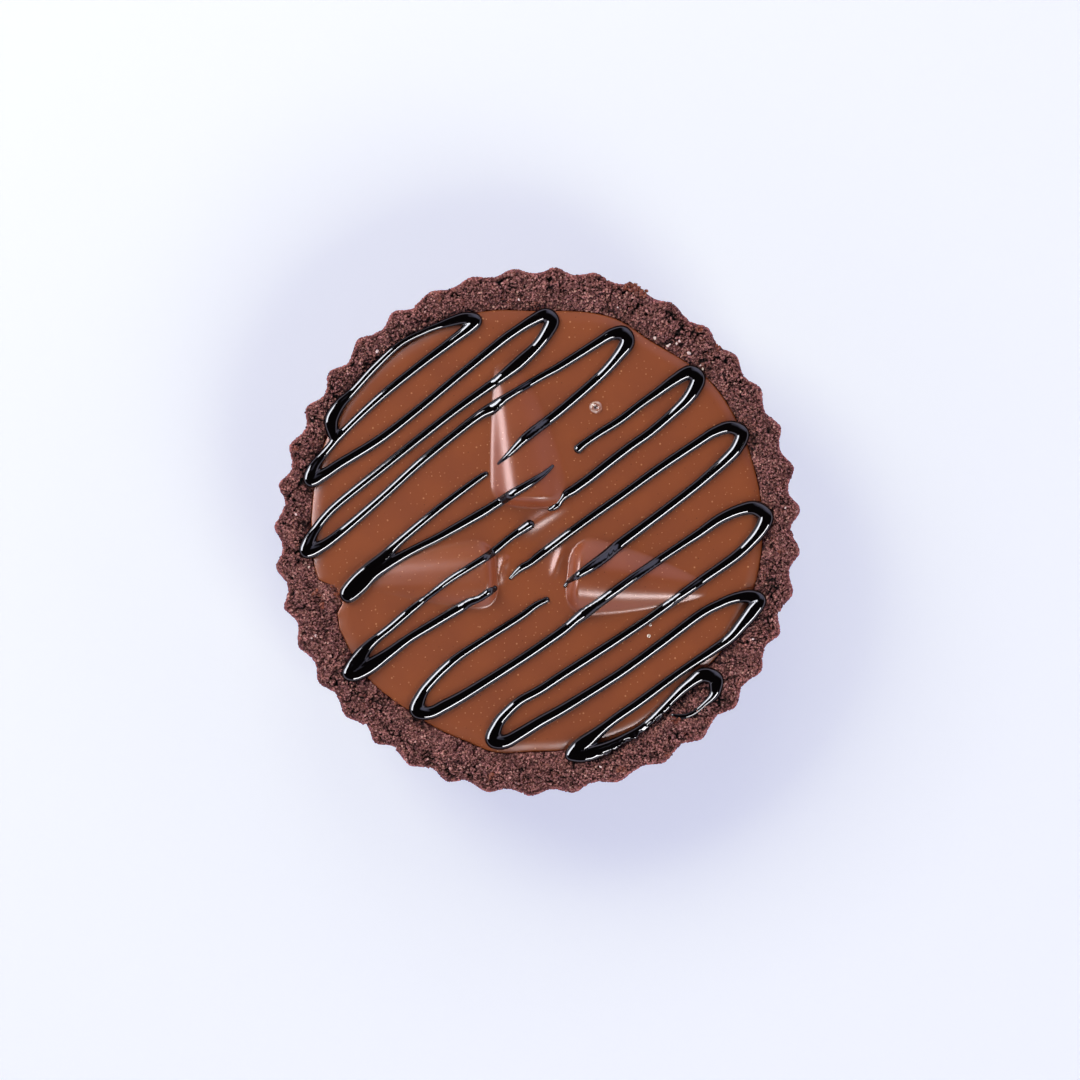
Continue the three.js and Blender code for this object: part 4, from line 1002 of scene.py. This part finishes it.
# The skin is drawn even: its distance from the route changes only slowly over it.
line = add(drizzle, "GeometryNodeCurveToMesh", {"Curve": route})
on_route = add(drizzle, "GeometryNodeProximity", {"Geometry": line}, target_element="EDGES")
away = add(drizzle, "ShaderNodeVectorMath", {
    0: place, 1: on_route.outputs["Position"]}, operation="SUBTRACT")
even = add(drizzle, "GeometryNodeBlurAttribute", {
    "Value": on_route.outputs["Distance"], "Iterations": SYRUP_EVENING}, data_type="FLOAT")
even = add(drizzle, "ShaderNodeMath", {0: even, 1: on_route.outputs["Distance"]}, operation="DIVIDE")
drawn = add(drizzle, "ShaderNodeVectorMath", {0: away, "Scale": even}, operation="SCALE")
drawn = add(drizzle, "ShaderNodeVectorMath", {0: drawn, 1: on_route.outputs["Position"]}, operation="ADD")
skin = add(drizzle, "GeometryNodeSetPosition", {"Geometry": skin, "Position": drawn})
nearest = add(drizzle, "GeometryNodeSampleNearest", {"Geometry": drops.outputs["Points"]}, domain="POINT")
for name, carried in (("width", width), ("ragged", ragged)):
    there = add(drizzle, "GeometryNodeSampleIndex", {
        "Geometry": drops.outputs["Points"], "Value": carried, "Index": nearest},
        data_type="FLOAT", domain="POINT")
    skin = add(drizzle, "GeometryNodeStoreNamedAttribute", {
        "Geometry": skin, "Name": name, "Value": there}, data_type="FLOAT", domain="POINT")
middle = add(drizzle, "GeometryNodeSampleIndex", {
    "Geometry": drops.outputs["Points"], "Value": place, "Index": nearest},
    data_type="FLOAT_VECTOR", domain="POINT")
skin = add(drizzle, "GeometryNodeStoreNamedAttribute", {
    "Geometry": skin, "Name": "middle", "Value": middle}, data_type="FLOAT_VECTOR", domain="POINT")
ragged_scale = add(drizzle, "ShaderNodeMath", {0: 1.0, 1: given["Ragged size"]}, operation="DIVIDE")
soak = add(drizzle, "ShaderNodeTexNoise", {
    "Vector": place, "Scale": ragged_scale, "Detail": 1.0})
soak = add(drizzle, "ShaderNodeMath", {0: soak, 1: 0.5}, operation="SUBTRACT")
soak = add(drizzle, "ShaderNodeMath", {0: soak, 1: given["Ragged depth"]}, operation="MULTIPLY")
outward = add(drizzle, "ShaderNodeVectorMath", {0: place}, operation="NORMALIZE")
facing = add(drizzle, "ShaderNodeVectorMath", {
    0: outward, 1: add(drizzle, "GeometryNodeInputNormal")}, operation="DOT_PRODUCT").outputs["Value"]
crust_side = add(drizzle, "ShaderNodeMapRange", {"Value": facing, "From Min": -0.1, "From Max": 0.5})
soak = add(drizzle, "ShaderNodeMath", {0: soak, 1: ragged}, operation="MULTIPLY")
soak = add(drizzle, "ShaderNodeMath", {0: soak, 1: crust_side}, operation="MULTIPLY")
creep = add(drizzle, "ShaderNodeVectorMath", {
    0: add(drizzle, "GeometryNodeInputNormal"), "Scale": soak}, operation="SCALE")
skin = add(drizzle, "GeometryNodeSetPosition", {"Geometry": skin, "Offset": creep})

# Chocolate syrup: sugar and cocoa, nearly black in a bead, and a reddish brown where it is thin. It
# stays wet, so it has a clear sharp gloss.
SYRUP_BLACK = "050304"
SYRUP_THIN = "3A130C"
wet_syrup, tree, output = new_material("wet_chocolate_syrup")
width_value = add(tree, "ShaderNodeAttribute", attribute_name="width").outputs["Fac"]
thick = add(tree, "ShaderNodeMapRange", {"Value": width_value, "From Min": 0.6 * MM, "From Max": 1.1 * MM})
body = add(tree, "ShaderNodeMix", {
    "Factor": thick, 6: linear(SYRUP_THIN), 7: linear(SYRUP_BLACK)}, data_type="RGBA")
shader = add(tree, "ShaderNodeBsdfPrincipled", {
    "Base Color": body.outputs[2], "Roughness": 0.04, "IOR": 1.5})
tree.links.new(shader.outputs[0], output.inputs[0])
skin = add(drizzle, "GeometryNodeSetShadeSmooth", {"Geometry": skin, "Shade Smooth": True})
end_tree(drizzle, skin, wet_syrup)


def vectors(data, name, count):
    """The vectors of a mesh's points or of an attribute, one a row, in millimetres."""
    flat = np.empty(3 * count)
    data.foreach_get(name, flat)
    return flat.reshape(-1, 3) / MM


def set_down(piece):
    """Bends a run that was laid flat onto what it lies on, and levels the top of its bead."""
    mesh = piece.data
    laid = vectors(mesh.vertices, "co", len(mesh.vertices))
    middle = vectors(mesh.attributes["middle"].data, "vector", len(mesh.vertices))
    low, more = SYRUP_FLAT
    rise = laid[:, 2] * SYRUP_HEIGHT
    rise = np.where(rise > low, low + more * np.tanh((rise - low) / more), rise)
    under = syrup_ground(laid[:, 0], laid[:, 1])
    under += SYRUP_LEVEL * (syrup_ground(middle[:, 0], middle[:, 1]) - under)
    laid[:, 2] = rise + under
    mesh.vertices.foreach_set("co", laid.ravel() * MM)
    mesh.update()


for number, run in enumerate(SYRUP_RUNS, 1):
    x, y, width = np.array(run).T
    rough = np.zeros(len(run))
    if run is SYRUP_RUNS[-1]:
        rough[-SYRUP_RAGGED[0]:-SYRUP_RAGGED[1]] = 1
    piece = new_object(f"syrup_run_{number}", np.stack([x, y, 0 * x], 1) * MM, [],
                       {"width": (width + SYRUP_SPREAD) * MM, "ragged": rough})
    piece.data.edges.add(len(run) - 1)
    piece.data.edges.foreach_set("vertices", [i for k in range(len(run) - 1) for i in (k, k + 1)])
    apply_tree(piece, drizzle, SYRUP_SIZES)
    set_down(piece)
    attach(piece, "root")
    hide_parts("filling", "crust")


# ---- lights ----
# Studio soft boxes round the tartlet. Those that show as highlights in the wet syrup light nothing
# else, and warmer ones, seen in no highlight, light the dough and the table.
LIGHTS = [
    # name, azimuth and elevation in degrees, distance, width, height, radiance, whether in gloss
    ("front_box", -58, 48.6, 0.942, 0.55, 0.307, (39.0, 38.7, 40.3), True),
    ("left_box", 159.5, 50.8, 1.01, 0.69, 0.77, (22.0, 22.5, 24.6), True),
    ("key_wash", 140, 35, 0.9, 0.45, 0.45, (7.5, 7.6, 4.7), False),
    ("back_wash", 90, 35, 0.9, 0.45, 0.45, (2.6, 2.6, 1.6), False),
    ("front_wash", -55, 35, 1.6, 0.8, 0.8, (6.6, 6.8, 4.2), False),
]
CEILING_PANEL = {"low": (0.0, 0.28), "high": (1.5, 2.2), "height": 1.1, "radiance": (0.5, 0.5, 0.72)}
CEILING_LAYERS = [0, 0.12, 0.24]  # how far each of its sheets of cloth stands in from the last

lamps = []
for name, azimuth, elevation, distance, width, height, radiance, in_gloss in LIGHTS:
    a, e = math.radians(azimuth), math.radians(elevation)
    away = Vector((math.cos(a) * math.cos(e), math.sin(a) * math.cos(e), math.sin(e)))
    facing = Vector((away.x, away.y, 0)) if in_gloss else away
    lamps.append((name, away * distance, facing.to_track_quat("Z", "Y").to_euler(), width, height,
                  radiance, in_gloss))
(x0, y0), (x1, y1) = CEILING_PANEL["low"], CEILING_PANEL["high"]
for inset in CEILING_LAYERS:
    middle = ((x0 + x1 + inset) / 2, (y0 + y1 + inset) / 2, CEILING_PANEL["height"] - 0.02 * inset)
    lamps.append(("ceiling_panel", middle, (0, 0, 0), x1 - x0 - inset, y1 - y0 - inset,
                  CEILING_PANEL["radiance"], True))
for name, place, turned, width, height, radiance, in_gloss in lamps:
    data = bpy.data.lights.new(name, "AREA")
    data.shape = "RECTANGLE"
    data.size, data.size_y = width, height
    data.energy = max(radiance) * math.pi * width * height
    data.color = [part / max(radiance) for part in radiance]
    lamp = bpy.data.objects.new(name, data)
    lamp.location = place
    lamp.rotation_euler = turned
    lamp.visible_camera = False
    lamp.visible_glossy = in_gloss
    lamp.visible_diffuse = not in_gloss
    bpy.context.scene.collection.objects.link(lamp)

# The bright backdrop round the table, low down: the studio is dark above it.
BACKDROP_COLOUR = (0.98, 0.92, 1.2)
BACKDROP_TOP = (0.3, 0.5)        # where it starts to fade and where it ends, as a share of straight up
BACKDROP_LIGHT = 1.7
STUDIO_LIGHT = 0.015

world = bpy.data.worlds.new("studio")
bpy.context.scene.world = world
world.use_nodes = True
world.node_tree.nodes.clear()
sky = world.node_tree
up = add(sky, "ShaderNodeSeparateXYZ", {0: add(sky, "ShaderNodeTexCoord").outputs["Generated"]})
room = add(sky, "ShaderNodeMapRange", {
    "Value": up.outputs["Z"], "From Min": BACKDROP_TOP[0], "From Max": BACKDROP_TOP[1],
    "To Min": BACKDROP_LIGHT, "To Max": STUDIO_LIGHT}, interpolation_type="SMOOTHSTEP")
glow = add(sky, "ShaderNodeBackground", {"Color": (*BACKDROP_COLOUR, 1), "Strength": room})
add(sky, "ShaderNodeOutputWorld", {"Surface": glow})

bpy.context.scene.view_settings.view_transform = "Standard"
bpy.context.scene.view_settings.look = "None"
